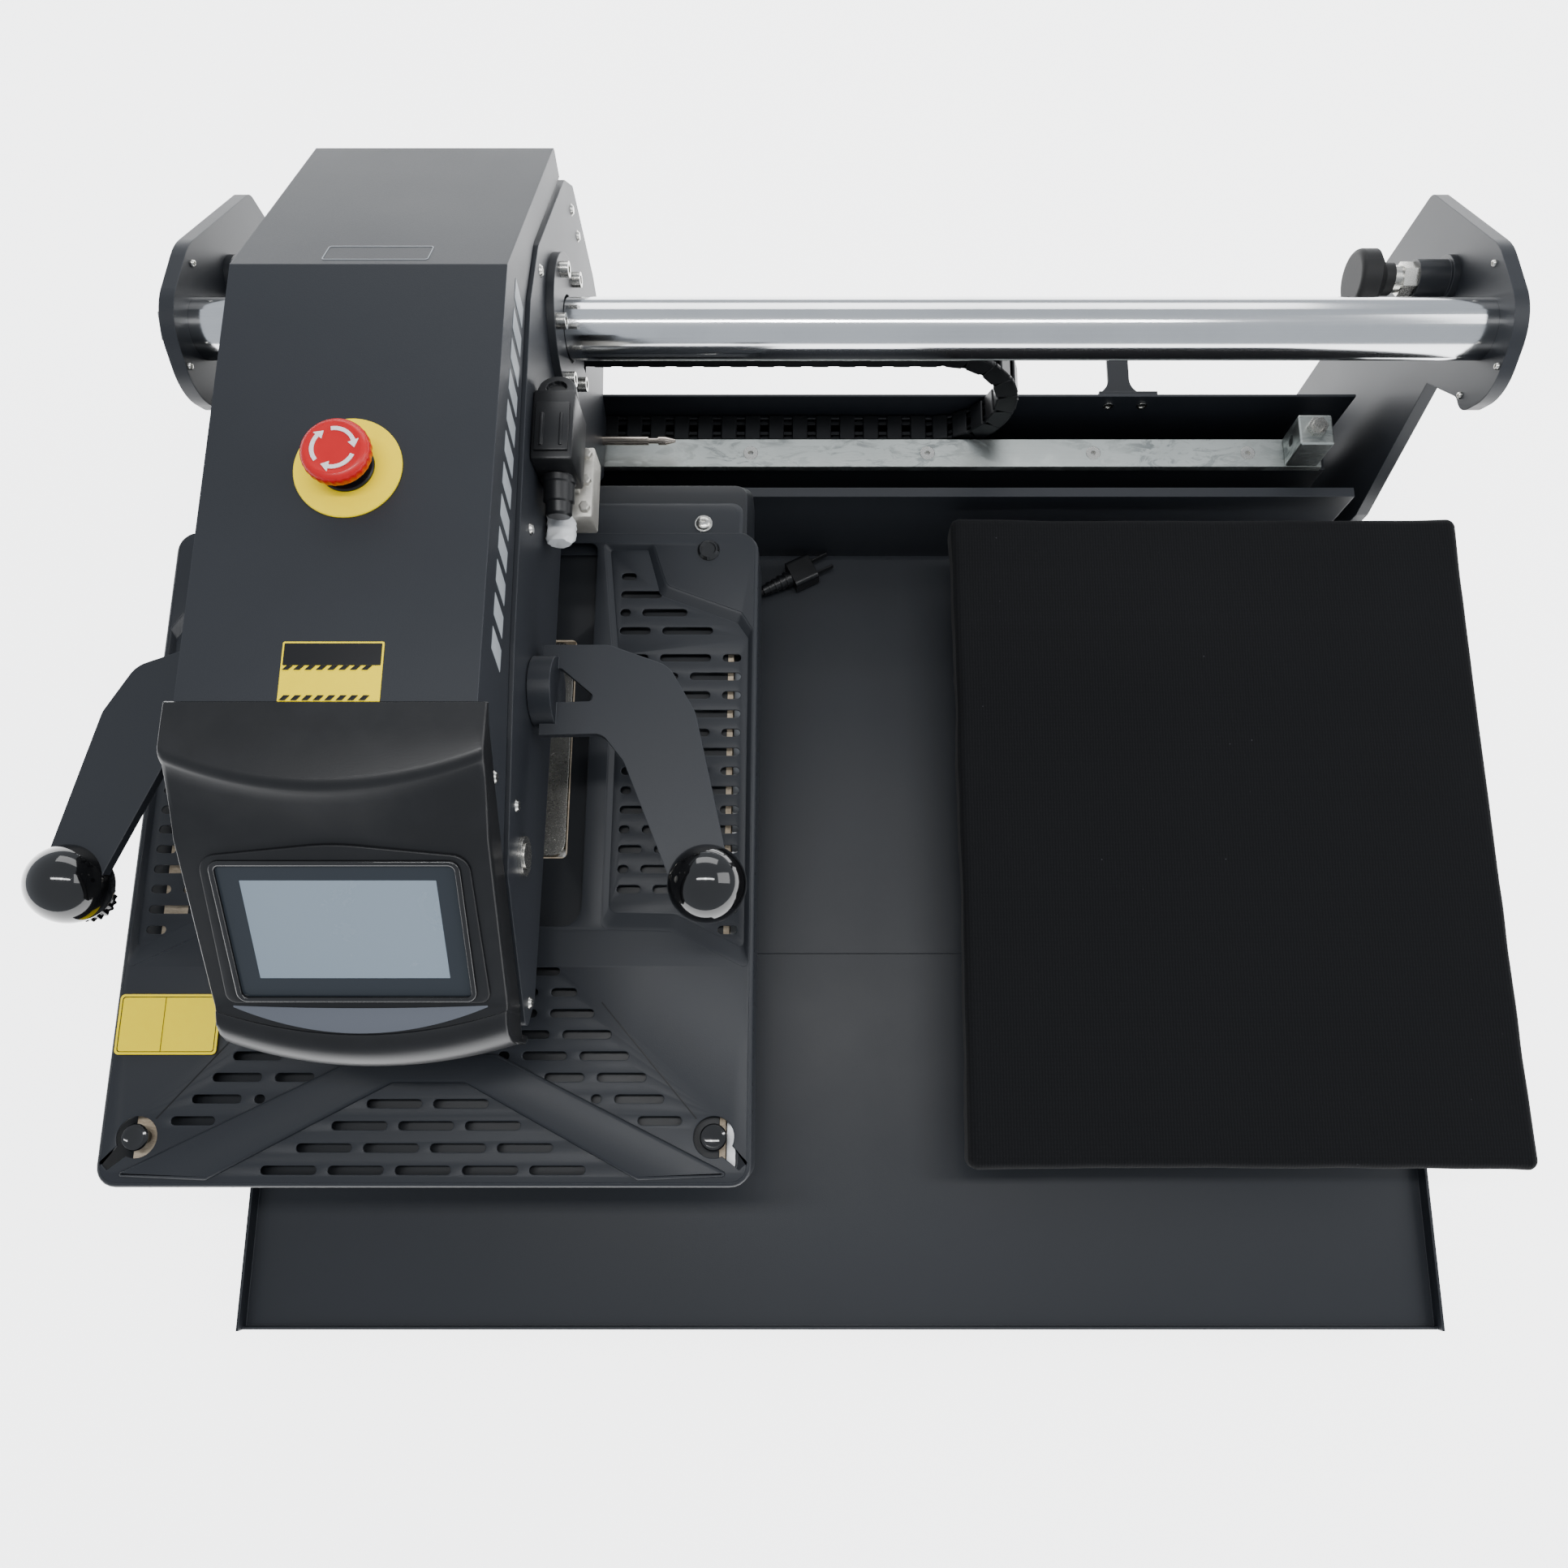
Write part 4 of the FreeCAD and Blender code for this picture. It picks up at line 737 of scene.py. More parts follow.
def join(name: str, pieces: Sequence[bpy.types.Object]) -> bpy.types.Object:
    """One object out of several, each keeping its finish.

    Args:
        name: the new object's name.
        pieces: the objects, which are used up.

    Returns:
        The joined object.
    """
    shape = bmesh.new()
    materials: list[bpy.types.Material] = []
    for piece in pieces:
        start = len(shape.faces)
        own = piece.data.materials[0] if piece.data.materials else None
        if own is not None and own not in materials:
            materials.append(own)
        shape.from_mesh(piece.data)
        shape.faces.ensure_lookup_table()
        for face in shape.faces[start:]:
            face.material_index = materials.index(own) if own is not None else 0
        data = piece.data
        bpy.data.objects.remove(piece)
        bpy.data.meshes.remove(data)
    data = bpy.data.meshes.new(name)
    shape.to_mesh(data)
    shape.free()
    for material in materials:
        data.materials.append(material)
    return in_scene(name, data)


def place_piece(piece: bpy.types.Object, body: str, coat: Coats | None,
                nodes: Iterable[str] = ()) -> bpy.types.Object:
    """Dresses a piece, rides it on a body and hides the CAD nodes it stands for.

    Args:
        piece: the new piece, in place.
        body: the CAD body that it moves with.
        coat: its finish, or None where it is dressed already.
        nodes: CAD nodes that it replaces.

    Returns:
        The piece.
    """
    if coat is not None:
        coat.dress(piece)
    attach(piece, body)
    if nodes:
        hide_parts(*nodes)
    LOG.info("%s on %s", piece.name, body)
    return piece


# ------------------------------------------------------------------ base
@dataclass
class PowerCord:
    """Mains lead: out of the gland in the trough wall, coiled under the head, then to its plug."""

    diameter: float = 0.007
    length: float = 1.8
    to_coil: Sequence[Point] = (
        (-0.345, 0.2045, 0.079), (-0.345, 0.1725, 0.077), (-0.343, 0.1385, 0.064), (-0.334, 0.1065, 0.048),
        (-0.314, 0.0825, 0.0412), (-0.285, 0.0705, 0.0406), (-0.248, 0.070, 0.0406),
        (-0.215, 0.0735, 0.0406))
    to_plug: Sequence[Point] = (
        (-0.1455, 0.1405, 0.0406), (-0.137, 0.1665, 0.0406), (-0.117, 0.1855, 0.0416),
        (-0.091, 0.1945, 0.0438), (-0.067, 0.2055, 0.0458))
    coil_centre: Pair = (-0.185, 0.1125)
    radii: Pair = (0.042, 0.035)
    turns: float = 5.75
    per_turn: int = 14

    def coil(self) -> list[Point]:
        """Turns of the coil, from its lowest outer turn, up and down through two columns of turns."""
        low = Place.of("cord_coil").low.z + self.diameter / 2
        order = [(0, 0), (0, 1), (0, 2), (1, 2), (1, 1), (1, 0)]
        points = []
        count = round(self.turns * self.per_turn)
        for i in range(count + 1):
            turn = i / self.per_turn
            whole = min(int(turn), len(order) - 1)
            after = min(whole + 1, len(order) - 1)
            share = max(0.0, (turn - whole) * 3.0 - 2.0) if after != whole else 0.0
            share = share * share * (3 - 2 * share)
            radius = self.radii[order[whole][0]] * (1 - share) + self.radii[order[after][0]] * share
            level = order[whole][1] * (1 - share) + order[after][1] * share
            angle = math.radians(-90 + 360 * turn)
            points.append((self.coil_centre[0] + radius * math.cos(angle),
                           self.coil_centre[1] + radius * math.sin(angle),
                           low + level * self.diameter * 1.02))
        return points

    def build(self) -> None:
        route = list(self.to_coil) + self.coil() + list(self.to_plug)
        curve = bpy.data.curves.new("mains_cord", "CURVE")
        curve.dimensions = "3D"
        curve.bevel_depth = self.diameter / 2
        curve.bevel_resolution = 5
        curve.resolution_u = 6
        curve.use_fill_caps = True
        spline = curve.splines.new("NURBS")
        spline.points.add(len(route) - 1)
        for point, place in zip(spline.points, route):
            point.co = (*place, 1.0)
        spline.order_u = 3
        spline.use_endpoint_u = True
        cord = in_scene("mains_cord", curve)
        place_piece(cord, "base", Coats.RUBBER, ("power_cord", "cord_coil"))


@dataclass
class PlatenCover:
    """Stretch-cloth cover pulled over one lower platen, its hem hanging below the edge."""

    side: str
    thickness: float = 1.3 * MM
    soft_radius: float = 7.0 * MM
    drop: float = 27.0 * MM
    around: int = 240
    seed: float = 0.0
    centre: Vector = field(init=False)

    def outline(self, inset: float, radius: float) -> list[Vector]:
        """Points around the rounded rectangle, evenly spaced along it.

        Args:
            inset: distance in from the cover's box.
            radius: radius of the corners.

        Returns:
            The points, at height 0.
        """
        box = Place.of("platen_cover_" + self.side)
        x0, x1 = box.low.x + inset, box.high.x - inset
        y0, y1 = box.low.y + inset, box.high.y - inset
        corners = [(x1, y1, 0), (x0, y1, 90), (x0, y0, 180), (x1, y0, 270)]
        bend = 12
        straight = self.around // 4 - bend
        points = []
        for i, (cx, cy, start) in enumerate(corners):
            sx = -1 if cx == x1 else 1
            sy = -1 if cy == y1 else 1
            centre = Vector((cx + sx * radius, cy + sy * radius, 0.0))
            for k in range(bend):
                a = math.radians(start + 90 * k / (bend - 1))
                points.append(centre + Vector((math.cos(a), math.sin(a), 0)) * radius)
            nx, ny, _ = corners[(i + 1) % 4]
            tx = -1 if nx == x1 else 1
            ty = -1 if ny == y1 else 1
            following = Vector((nx + tx * radius, ny + ty * radius, 0.0))
            a = math.radians(start + 90)
            out = Vector((math.cos(a), math.sin(a), 0)) * radius
            for k in range(1, straight + 1):
                t = k / (straight + 1)
                points.append((centre + out).lerp(following + out, t))
        return points

    def shaped(self, point: Vector, down: float, corner: float) -> Vector:
        """Pulls and ripples a point of the hanging edge, as stretched cloth does.

        Args:
            point: where it would be on a plain cover.
            down: 0 on top, 1 at the hem.
            corner: 1 at a corner and 0 half way along a side.

        Returns:
            The point in place.
        """
        from_centre = point - self.centre
        out = Vector((from_centre.x, from_centre.y, 0)).normalized()
        along = Vector((point.x * 26.0, point.y * 26.0, self.seed))
        wave = noise_at(along)
        fine = noise_at(along * 4.2)
        hang = min(1.0, 0.55 + down)
        shift = hang * (1.5 * MM * wave + 0.7 * MM * fine * down + 3.4 * MM * corner - 1.6 * MM)
        sag = down ** 2 * (3.2 * MM * noise_at(along * 0.7 + Vector((7, 3, 1))) - 2.0 * MM * corner)
        swell = noise_at(Vector((point.x * 9.0, point.y * 9.0, self.seed + 5)))
        relief = (1 - down) * 0.35 * MM * swell
        return point + out * shift + Vector((0, 0, sag + relief))

    def build(self) -> None:
        node = "platen_cover_" + self.side
        box = Place.of(node)
        self.centre = Vector((box.middle.x, box.middle.y, 0))
        top = box.high.z
        corner_radius = 8 * MM
        rows: list[list[Vector]] = []

        def row(inset: float, z: float, down: float) -> None:
            """Adds one row of points round the cover.

            Args:
                inset: distance in from the cover's box.
                z: height of the row.
                down: 0 on top, 1 at the hem.
            """
            outline = self.outline(inset, max(1.0 * MM, corner_radius - inset))
            half = Vector((box.size.x / 2, box.size.y / 2))
            made = []
            for p in outline:
                away = p - self.centre
                near = max(abs(away.x) / half.x + abs(away.y) / half.y - 1.0, 0.0)
                made.append(self.shaped(Vector((p.x, p.y, z)), down, near ** 6))
            rows.append(made)

        hem = top - self.drop
        row(5.0 * MM, hem + 1.0 * MM, 1.0)
        row(2.0 * MM, hem - 0.2 * MM, 1.0)
        row(0.6 * MM, hem, 1.0)
        for k in range(1, 6):
            row(0.2 * MM, hem + (self.drop - self.soft_radius) * k / 5, 1.0 - k / 6)
        for k in range(1, 7):
            a = math.radians(90 * k / 6)
            row(self.soft_radius * (1 - math.cos(a)), top - self.soft_radius * (1 - math.sin(a)),
                0.12 * (1 - k / 6))
        for inset in (9, 12, 17, 24, 38, 56, 78, 104, 134, 166, 196):
            row(inset * MM, top, -0.55 * min(1.0, (inset - 7) / 14))
        cloth = loft(node + "_cloth", rows, closed=True, smooth=60.0)
        shape = bmesh.new()
        shape.from_mesh(cloth.data)
        rim = [e for e in shape.edges if e.is_boundary and min(v.co.z for v in e.verts) > top - 3 * MM]
        bmesh.ops.contextual_create(shape, geom=rim)
        shape.to_mesh(cloth.data)
        shape.free()
        cloth.data.shade_smooth()
        solid = cloth.modifiers.new("cloth", "SOLIDIFY")
        solid.thickness = self.thickness
        solid.offset = -1.0
        place_piece(cloth, "base", Coats.KNIT, (node,))


@dataclass
class CableChain:
    """Link chain that carries the head's cables: two straight runs and the bend between them."""

    pitch: float = 20.0 * MM
    bar: float = 13.0 * MM
    wall: float = 3.0 * MM
    skin: float = 2.4 * MM
    start_x: float = -0.420

    def link(self, shape: bmesh.types.BMesh, where: Matrix, width: float, depth: float) -> None:
        """Adds one link: two side plates with hinge bosses and two cross bars.

        Args:
            shape: the mesh that it is added to.
            where: placement; X along the chain, Y across it, Z out of the loop.
            width: across the chain.
            depth: thickness of the chain.
        """
        def box_part(x0: float, x1: float, y0: float, y1: float, z0: float, z1: float, bevel: float) -> None:
            """Adds one bevelled box.

            Args:
                x0: its back end along the chain.
                x1: its front end.
                y0: its lower side across the chain.
                y1: its upper side.
                z0: its inner face.
                z1: its outer face.
                bevel: width of its bevels.
            """
            made = bmesh.ops.create_cube(shape, size=1.0)["verts"]
            middle = Vector(((x0 + x1) / 2, (y0 + y1) / 2, (z0 + z1) / 2))
            scale = Matrix.Diagonal((x1 - x0, y1 - y0, z1 - z0, 1.0))
            bmesh.ops.transform(shape, verts=made, matrix=where @ Matrix.Translation(middle) @ scale)
            edges = list({e for v in made for e in v.link_edges})
            bmesh.ops.bevel(shape, geom=edges, offset=bevel, segments=1, affect="EDGES")

        half = width / 2
        deep = depth / 2
        for side in (-1, 1):
            y0, y1 = sorted((side * half, side * (half - self.wall)))
            box_part(-self.pitch * 0.50, self.pitch * 0.58, y0, y1,
                     -deep + 0.8 * MM, deep - 0.8 * MM, 0.8 * MM)
            z0, z1 = sorted((side * deep, side * (deep - self.skin)))
            box_part(-self.bar / 2, self.bar / 2, -half, half, z0, z1, 0.7 * MM)
            inner = sorted((side * (half - self.wall), side * (half - 1.9 * self.wall)))
            box_part(-self.pitch * 0.62, -self.pitch * 0.18, *inner,
                     -deep + 3 * MM, deep - 3 * MM, 0.8 * MM)
        for y in (-half * 0.42, half * 0.42):
            box_part(-self.pitch * 0.72, -self.bar / 2 + 0.5 * MM, y - 1.6 * MM, y + 1.6 * MM,
                     deep - 3.2 * MM, deep - 1.2 * MM, 0.4 * MM)

    def build(self) -> None:
        """Builds the three stretches; the bend rides on its body and the two runs stay where they are built."""
        low = Place.of("chain_lower_run")
        up = Place.of("chain_upper_run")
        bend = Place.of("chain_bend")
        width = low.size.y - 0.6 * MM
        depth = low.size.z - 0.6 * MM
        y = low.middle.y
        bend_x = low.high.x
        radius = (up.middle.z - low.middle.z) / 2
        centre_z = (up.middle.z + low.middle.z) / 2

        runs = {}
        for name, run, flip in (("chain_lower_run", low, 0.0), ("chain_upper_run", up, math.pi)):
            shape = bmesh.new()
            count = round(run.size.x / self.pitch)
            step = run.size.x / count
            for i in range(count):
                x = run.low.x + step * (i + 0.5)
                place = Matrix.Translation((x, y, run.middle.z)) @ Matrix.Rotation(flip, 4, "Y")
                self.link(shape, place, width, depth)
            runs[name] = from_bmesh(name + "_links", shape, 30.0)
        shape = bmesh.new()
        count = round(math.pi * radius / self.pitch)
        for i in range(count):
            angle = math.pi * (i + 0.5) / count
            turn = Matrix.Rotation(-angle, 4, "Y")
            place = Matrix.Translation((bend_x + radius * math.sin(angle), y,
                                        centre_z - radius * math.cos(angle)))
            self.link(shape, place @ turn, width, depth)
        loop = from_bmesh("chain_bend_links", shape, 30.0)

        lower = runs["chain_lower_run"]
        Coats.PLASTIC.dress(lower)
        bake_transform(lower)
        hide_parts("chain_lower_run")
        upper = runs["chain_upper_run"]
        Coats.PLASTIC.dress(upper)
        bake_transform(upper)
        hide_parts("chain_upper_run")
        for piece in (lower, upper):
            LOG.info("%s between base and head", piece.name)
        place_piece(loop, "chain_loop", Coats.PLASTIC, ("chain_bend",))


# ------------------------------------------------------------------ heat platen
@dataclass
class HeatCover:
    """Pressed and vented cover of the heater: recessed panels between raised ribs, and a skirt.

    The pitches and the keyhole's place are in millimetres, the rest is in metres.
    """

    sheet: float = 1.5 * MM
    relief: float = 2.6 * MM
    corner: float = 14.0 * MM
    edge: float = 3.0 * MM
    slot_radius: float = 2.9 * MM
    vent_pitch: float = 18.0
    row_pitch: float = 14.2
    keyhole: Pair = (190.0, 152.0)

    def fill_row(self, x0: float, x1: float, y: float, long: float, gap: float) -> list[Outline]:
        """Slots along one row, from x1 back to x0: long ones, then a short or round one.

        Args:
            x0: where the row ends.
            x1: where it begins.
            y: place of the row.
            long: end-to-end length of a whole slot.
            gap: metal left between slots.

        Returns:
            The slots' outlines.
        """
        step = -1 if x1 > x0 else 1
        room = abs(x1 - x0)
        made = []
        start = x1
        while room > 2.2 * self.slot_radius:
            size = min(long, room)
            if 0 < room - size < 2.4 * self.slot_radius + gap and room > long:
                size = room - gap - 2.6 * self.slot_radius
                size = long if size < long * 0.5 else size
            length = size - 2 * self.slot_radius
            made.append(slot_outline(start + step * size / 2, y, length, self.slot_radius))
            start += step * (size + gap)
            room -= size + gap
        return made

    def build(self) -> None:
        """Builds the cover's sheets in place of the plain CAD shell."""
        box = Place.of("heat_cover")
        shield_box = Place.of("insulation")
        x_mid = box.middle.x
        front = box.low.y
        top = box.high.z
        half = box.size.x / 2
        origin = front - 120 * MM
        back_step = origin + 586 * MM

        def at(x: float, d: float) -> Pair:
            """Place of a point given in millimetres, right of the middle and behind the origin."""
            return (x_mid + x * MM, origin + d * MM)

        def shape_of(corners: Sequence[Point], side: int = 1) -> Outline:
            """Rounded outline in millimetres, mirrored where the side is -1."""
            placed = [(*at(side * x, d), r * MM) for x, d, r in corners]
            return rounded(placed)

        keyholes = []
        seams = []
        for side in (-1, 1):
            kx, kd = self.keyhole
            ring = arc((kx, kd), 13.5, -25, 295, 26) + [(kx + 17.0, kd - 21.0), (kx + 22.0, kd - 16.0)]
            keyholes.append([at(side * x, d) for x, d in ring])
            seam = [(178.2, 163.4, 0), (179.0, 164.1, 0), (113.2, 240.6, 0), (112.4, 240.0, 0)]
            seams.append(shape_of(seam, side))
        window = shape_of([(-96, 292, 14), (96, 292, 14), (96, 578, 6), (-96, 578, 6)])
        inset = self.edge
        level = top - self.relief
        depth = 3.4 * MM
        outer = rectangle(x_mid - half + inset, x_mid + half - inset, front + inset, back_step,
                          self.corner - inset)
        rib_band = [(-204, 127.0, 2), (-44, 206, 8), (44, 206, 8), (204, 127.0, 2), (141, 124.5, 2), (24, 187, 8),
                    (-24, 187, 8), (-141, 124.5, 2)]
        side_panel = [(211.0, 263, 3), (158, 289, 10), (110, 290, 6), (110, 493, 10), (101, 577, 2), (137, 577, 2),
                      (148, 544, 8), (203, 523, 4), (211.0, 510, 3)]
        side_floor = [(208.0, 277, 3), (160, 301, 10), (114, 302, 6), (114, 491, 8), (105, 574, 2), (133, 574, 2),
                      (143, 538, 8), (200, 516, 4), (208.0, 504, 3)]

        slots: list[Outline] = []
        side_slots: list[Outline] = []
        for row in range(4):
            count = 5 - row
            for i in range(count):
                x, d = at((i - (count - 1) / 2) * 44.0, 131.0 + row * self.row_pitch)
                slots.append(slot_outline(x, d, 31 * MM, self.slot_radius))
        through_rib: list[Outline] = []
        outer_x = 203.0
        for side in (-1, 1):
            for k in range(8):
                d = 162.5 + 14.1 * k
                seam_x = 174.9 - (d - 164.6) * 0.863 - 8.0
                rib_x = 201.6 - (d - 132.1) * 2.238 + 6.0
                rib_x = max(rib_x, 62.0 if d > 225 else 42.0)
                x1, y = at(side * seam_x, d)
                x0, _ = at(side * rib_x, d)
                through_rib += self.fill_row(x0, x1, y, 33 * MM, 8.5 * MM)
            for k in range(18):
                d = 276.0 + self.row_pitch * k
                if d < 284:
                    continue
                if d > 502:
                    break
                inner_x = 119.0 if 306 < d < 490 else 150.0
                if d < 306:
                    inner_x = 192.0 - (d - 284) * 1.6
                first = 13.5 if k % 2 else 37.0
                x1, y = at(side * outer_x, d)
                xs, _ = at(side * (outer_x - first), d)
                length = abs(x1 - xs) - 2 * self.slot_radius
                side_slots.append(slot_outline((x1 + xs) / 2, y, length, self.slot_radius))
                x1, _ = at(side * (outer_x - first - 8.5), d)
                x0, _ = at(side * inner_x, d)
                if (x1 - x0) * side > 0:
                    side_slots += self.fill_row(x0, x1, y, 37 * MM, 8.5 * MM)
            for k in range(4):
                d = 510.0 + self.row_pitch * k
                x1, y = at(side * (182.0 - 19.0 * k), d)
                x0, _ = at(side * 114.0, d)
                side_slots += self.fill_row(x0, x1, y, 37 * MM, 8.5 * MM)

        openings = [shape_of(side_panel), shape_of(side_panel, -1)]
        panel = plate("heat_cover_panel", [outer, window, *keyholes, *slots, *through_rib, *openings],
                      level - self.sheet, level, 0.0004)
        place_piece(panel, "platen", Coats.CHARCOAL, ("heat_cover",))
        ribs = plate("heat_cover_ribs", [shape_of(rib_band)], level - 2.6 * MM, top, 2.5 * MM)
        place_piece(ribs, "platen", Coats.CHARCOAL)
        grooves = []
        for seam in seams:
            groove = plate("groove", [seam], level - 0.2 * MM, level + 0.06 * MM, 0.02 * MM)
            Coats.INK.dress(groove)
            grooves.append(groove)
        place_piece(join("heat_cover_seams", grooves), "platen", None)
        for side, word in ((1, "right"), (-1, "left")):
            own = [hole for hole in side_slots if (sum(x for x, _ in hole) / len(hole) - x_mid) * side > 0]
            floor_outline = shape_of(side_floor, side)
            tray = plate("side_panel_" + word, [floor_outline, *own], level - depth - self.sheet,
                         level - depth, 0.0003)
            place_piece(tray, "platen", Coats.CHARCOAL)
            slope_rows = []
            upper = shape_of(side_panel, side)
            for t, lower in ((0.0, 0.03), (0.25, 0.10), (0.75, 0.90), (1.0, 1.0), (1.08, 1.12)):
                slope_rows.append([Vector((a[0] + (b[0] - a[0]) * t, a[1] + (b[1] - a[1]) * t,
                                           level - depth * lower)) for a, b in zip(upper, floor_outline)])
            slope = loft("side_slope_" + word, slope_rows, closed=True, smooth=60.0)
            place_piece(slope, "platen", Coats.CHARCOAL)

        low = box.low.z
        rings = [(0.0, low), (0.0, level - self.edge)]
        for k in range(1, 5):
            a = math.radians(22.5 * k)
            rings.append((self.edge * (1 - math.cos(a)), level - self.edge * (1 - math.sin(a))))
        rings += [(self.edge + 0.2 * MM, level - self.sheet),
                  (self.sheet + 0.6 * MM, level - self.edge - self.sheet), (self.sheet, low)]
        skirt_rows = []
        for inset_by, z in rings:
            loop = rectangle(x_mid - half + inset_by, x_mid + half - inset_by, front + inset_by,
                             back_step - 0.3 * MM, max(self.corner - inset_by, 1 * MM))
            skirt_rows.append([Vector((x, y, z)) for x, y in loop])
        skirt = loft("heat_cover_skirt", skirt_rows + [skirt_rows[0]], closed=True)
        place_piece(skirt, "platen", Coats.CHARCOAL)

        ledge_top = top - 9.5 * MM
        ledge_tiers = ((202.5, 615.5, top - 20 * MM), (202.5, 615.5, ledge_top - 2.6 * MM),
                       (200.8, 613.4, ledge_top - 0.7 * MM), (199.2, 611.8, ledge_top))
        # The apron behind the ledge is black as a painted shadow.
        apron_tiers = ((209, 636, low), (209, 636, top - 26 * MM), (205, 631, ledge_top - 4.6 * MM),
                       (203, 629, ledge_top - 3.8 * MM))
        for name, tiers, coat in (("heat_cover_ledge", ledge_tiers, Coats.CHARCOAL),
                                  ("heat_cover_apron", apron_tiers, Coats.BLACK)):
            rows = []
            for half_x, end_d, z in tiers:
                loop = rectangle(x_mid - half_x * MM, x_mid + half_x * MM, origin + 572 * MM,
                                 origin + end_d * MM, 9 * MM)
                rows.append([Vector((x, y, z)) for x, y in loop])
            place_piece(loft(name, rows, closed=True, caps=True), "platen", coat)

        around = rectangle(shield_box.low.x + 17 * MM, shield_box.high.x - 4 * MM,
                           shield_box.low.y - 5 * MM, shield_box.high.y - 4 * MM, 6 * MM)
        inside = rectangle(x_mid - 82 * MM, x_mid + 82 * MM, origin + 342 * MM, origin + 506 * MM, 4 * MM)
        shield = plate("heat_shield", [around, inside], shield_box.high.z + 0.1 * MM,
                       shield_box.high.z + 0.9 * MM, 0.0002)
        place_piece(shield, "platen", Coats.BLACK)

        # The vent holes are thin black discs on the skirt: painted shade in place of open holes.
        holes = []
        vent = [(0.0, 0.0), (1.1 * MM, 0.0), (1.1 * MM, 0.25 * MM), (0.0, 0.25 * MM)]
        vent_z = top - 9 * MM
        for side in (-1, 1):
            for k in range(26):
                y = origin + (150 + self.vent_pitch * k) * MM
                if y > back_step - 8 * MM:
                    break
                holes.append(lathe("hole", vent, Vector((x_mid + side * half, y, vent_z)),
                                   Vector((side, 0, 0)), 10))
        for k in range(21):
            x = x_mid + (-180 + self.vent_pitch * k) * MM
            holes.append(lathe("hole", vent, Vector((x, front, vent_z)), Vector((0, -1, 0)), 10))
        for hole in holes:
            Coats.INK.dress(hole)
        place_piece(join("skirt_vent_holes", holes), "platen", None)

        for side, word in ((-1, "left"), (1, "right")):
            x, y = at(side * self.keyhole[0], self.keyhole[1])
            cap = lathe("cover_plug_" + word,
                        [(0.0, -9 * MM), (5.0 * MM, -9 * MM), (5.0 * MM, 0.4 * MM), (8.5 * MM, 0.6 * MM),
                         (8.9 * MM, 1.6 * MM), (8.1 * MM, 2.9 * MM), (6.4 * MM, 3.3 * MM), (5.2 * MM, 2.8 * MM),
                         (0.0, 2.8 * MM)], Vector((x, y, level)), Vector((0, 0, 1)), 32)
            place_piece(cap, "platen", Coats.GLOSS)
            pan = lathe("ledge_screw_" + word,
                        [(0.0, -1 * MM), (6.6 * MM, -1 * MM), (6.6 * MM, 0.8 * MM), (5.4 * MM, 0.9 * MM),
                         (5.0 * MM, 2.4 * MM), (3.4 * MM, 3.4 * MM), (1.9 * MM, 3.5 * MM), (1.6 * MM, 1.8 * MM),
                         (0.0, 1.8 * MM)],
                        Vector((x_mid + side * 173 * MM, origin + 597 * MM, ledge_top)), Vector((0, 0, 1)), 32)
            place_piece(pan, "platen", Coats.BRIGHT)
            x, y = at(side * 178.0, 572.0)
            grommet = lathe("rear_plug_" + word,
                            [(0.0, -2 * MM), (8.2 * MM, -2 * MM), (8.2 * MM, 0.6 * MM), (6.6 * MM, 2.6 * MM),
                             (5.4 * MM, 2.8 * MM), (4.8 * MM, 2.0 * MM), (0.0, 2.0 * MM)],
                            Vector((x, y, level)), Vector((0, 0, 1)), 32)
            place_piece(grommet, "platen", Coats.GLOSS)
        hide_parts("heat_cover_fasteners")


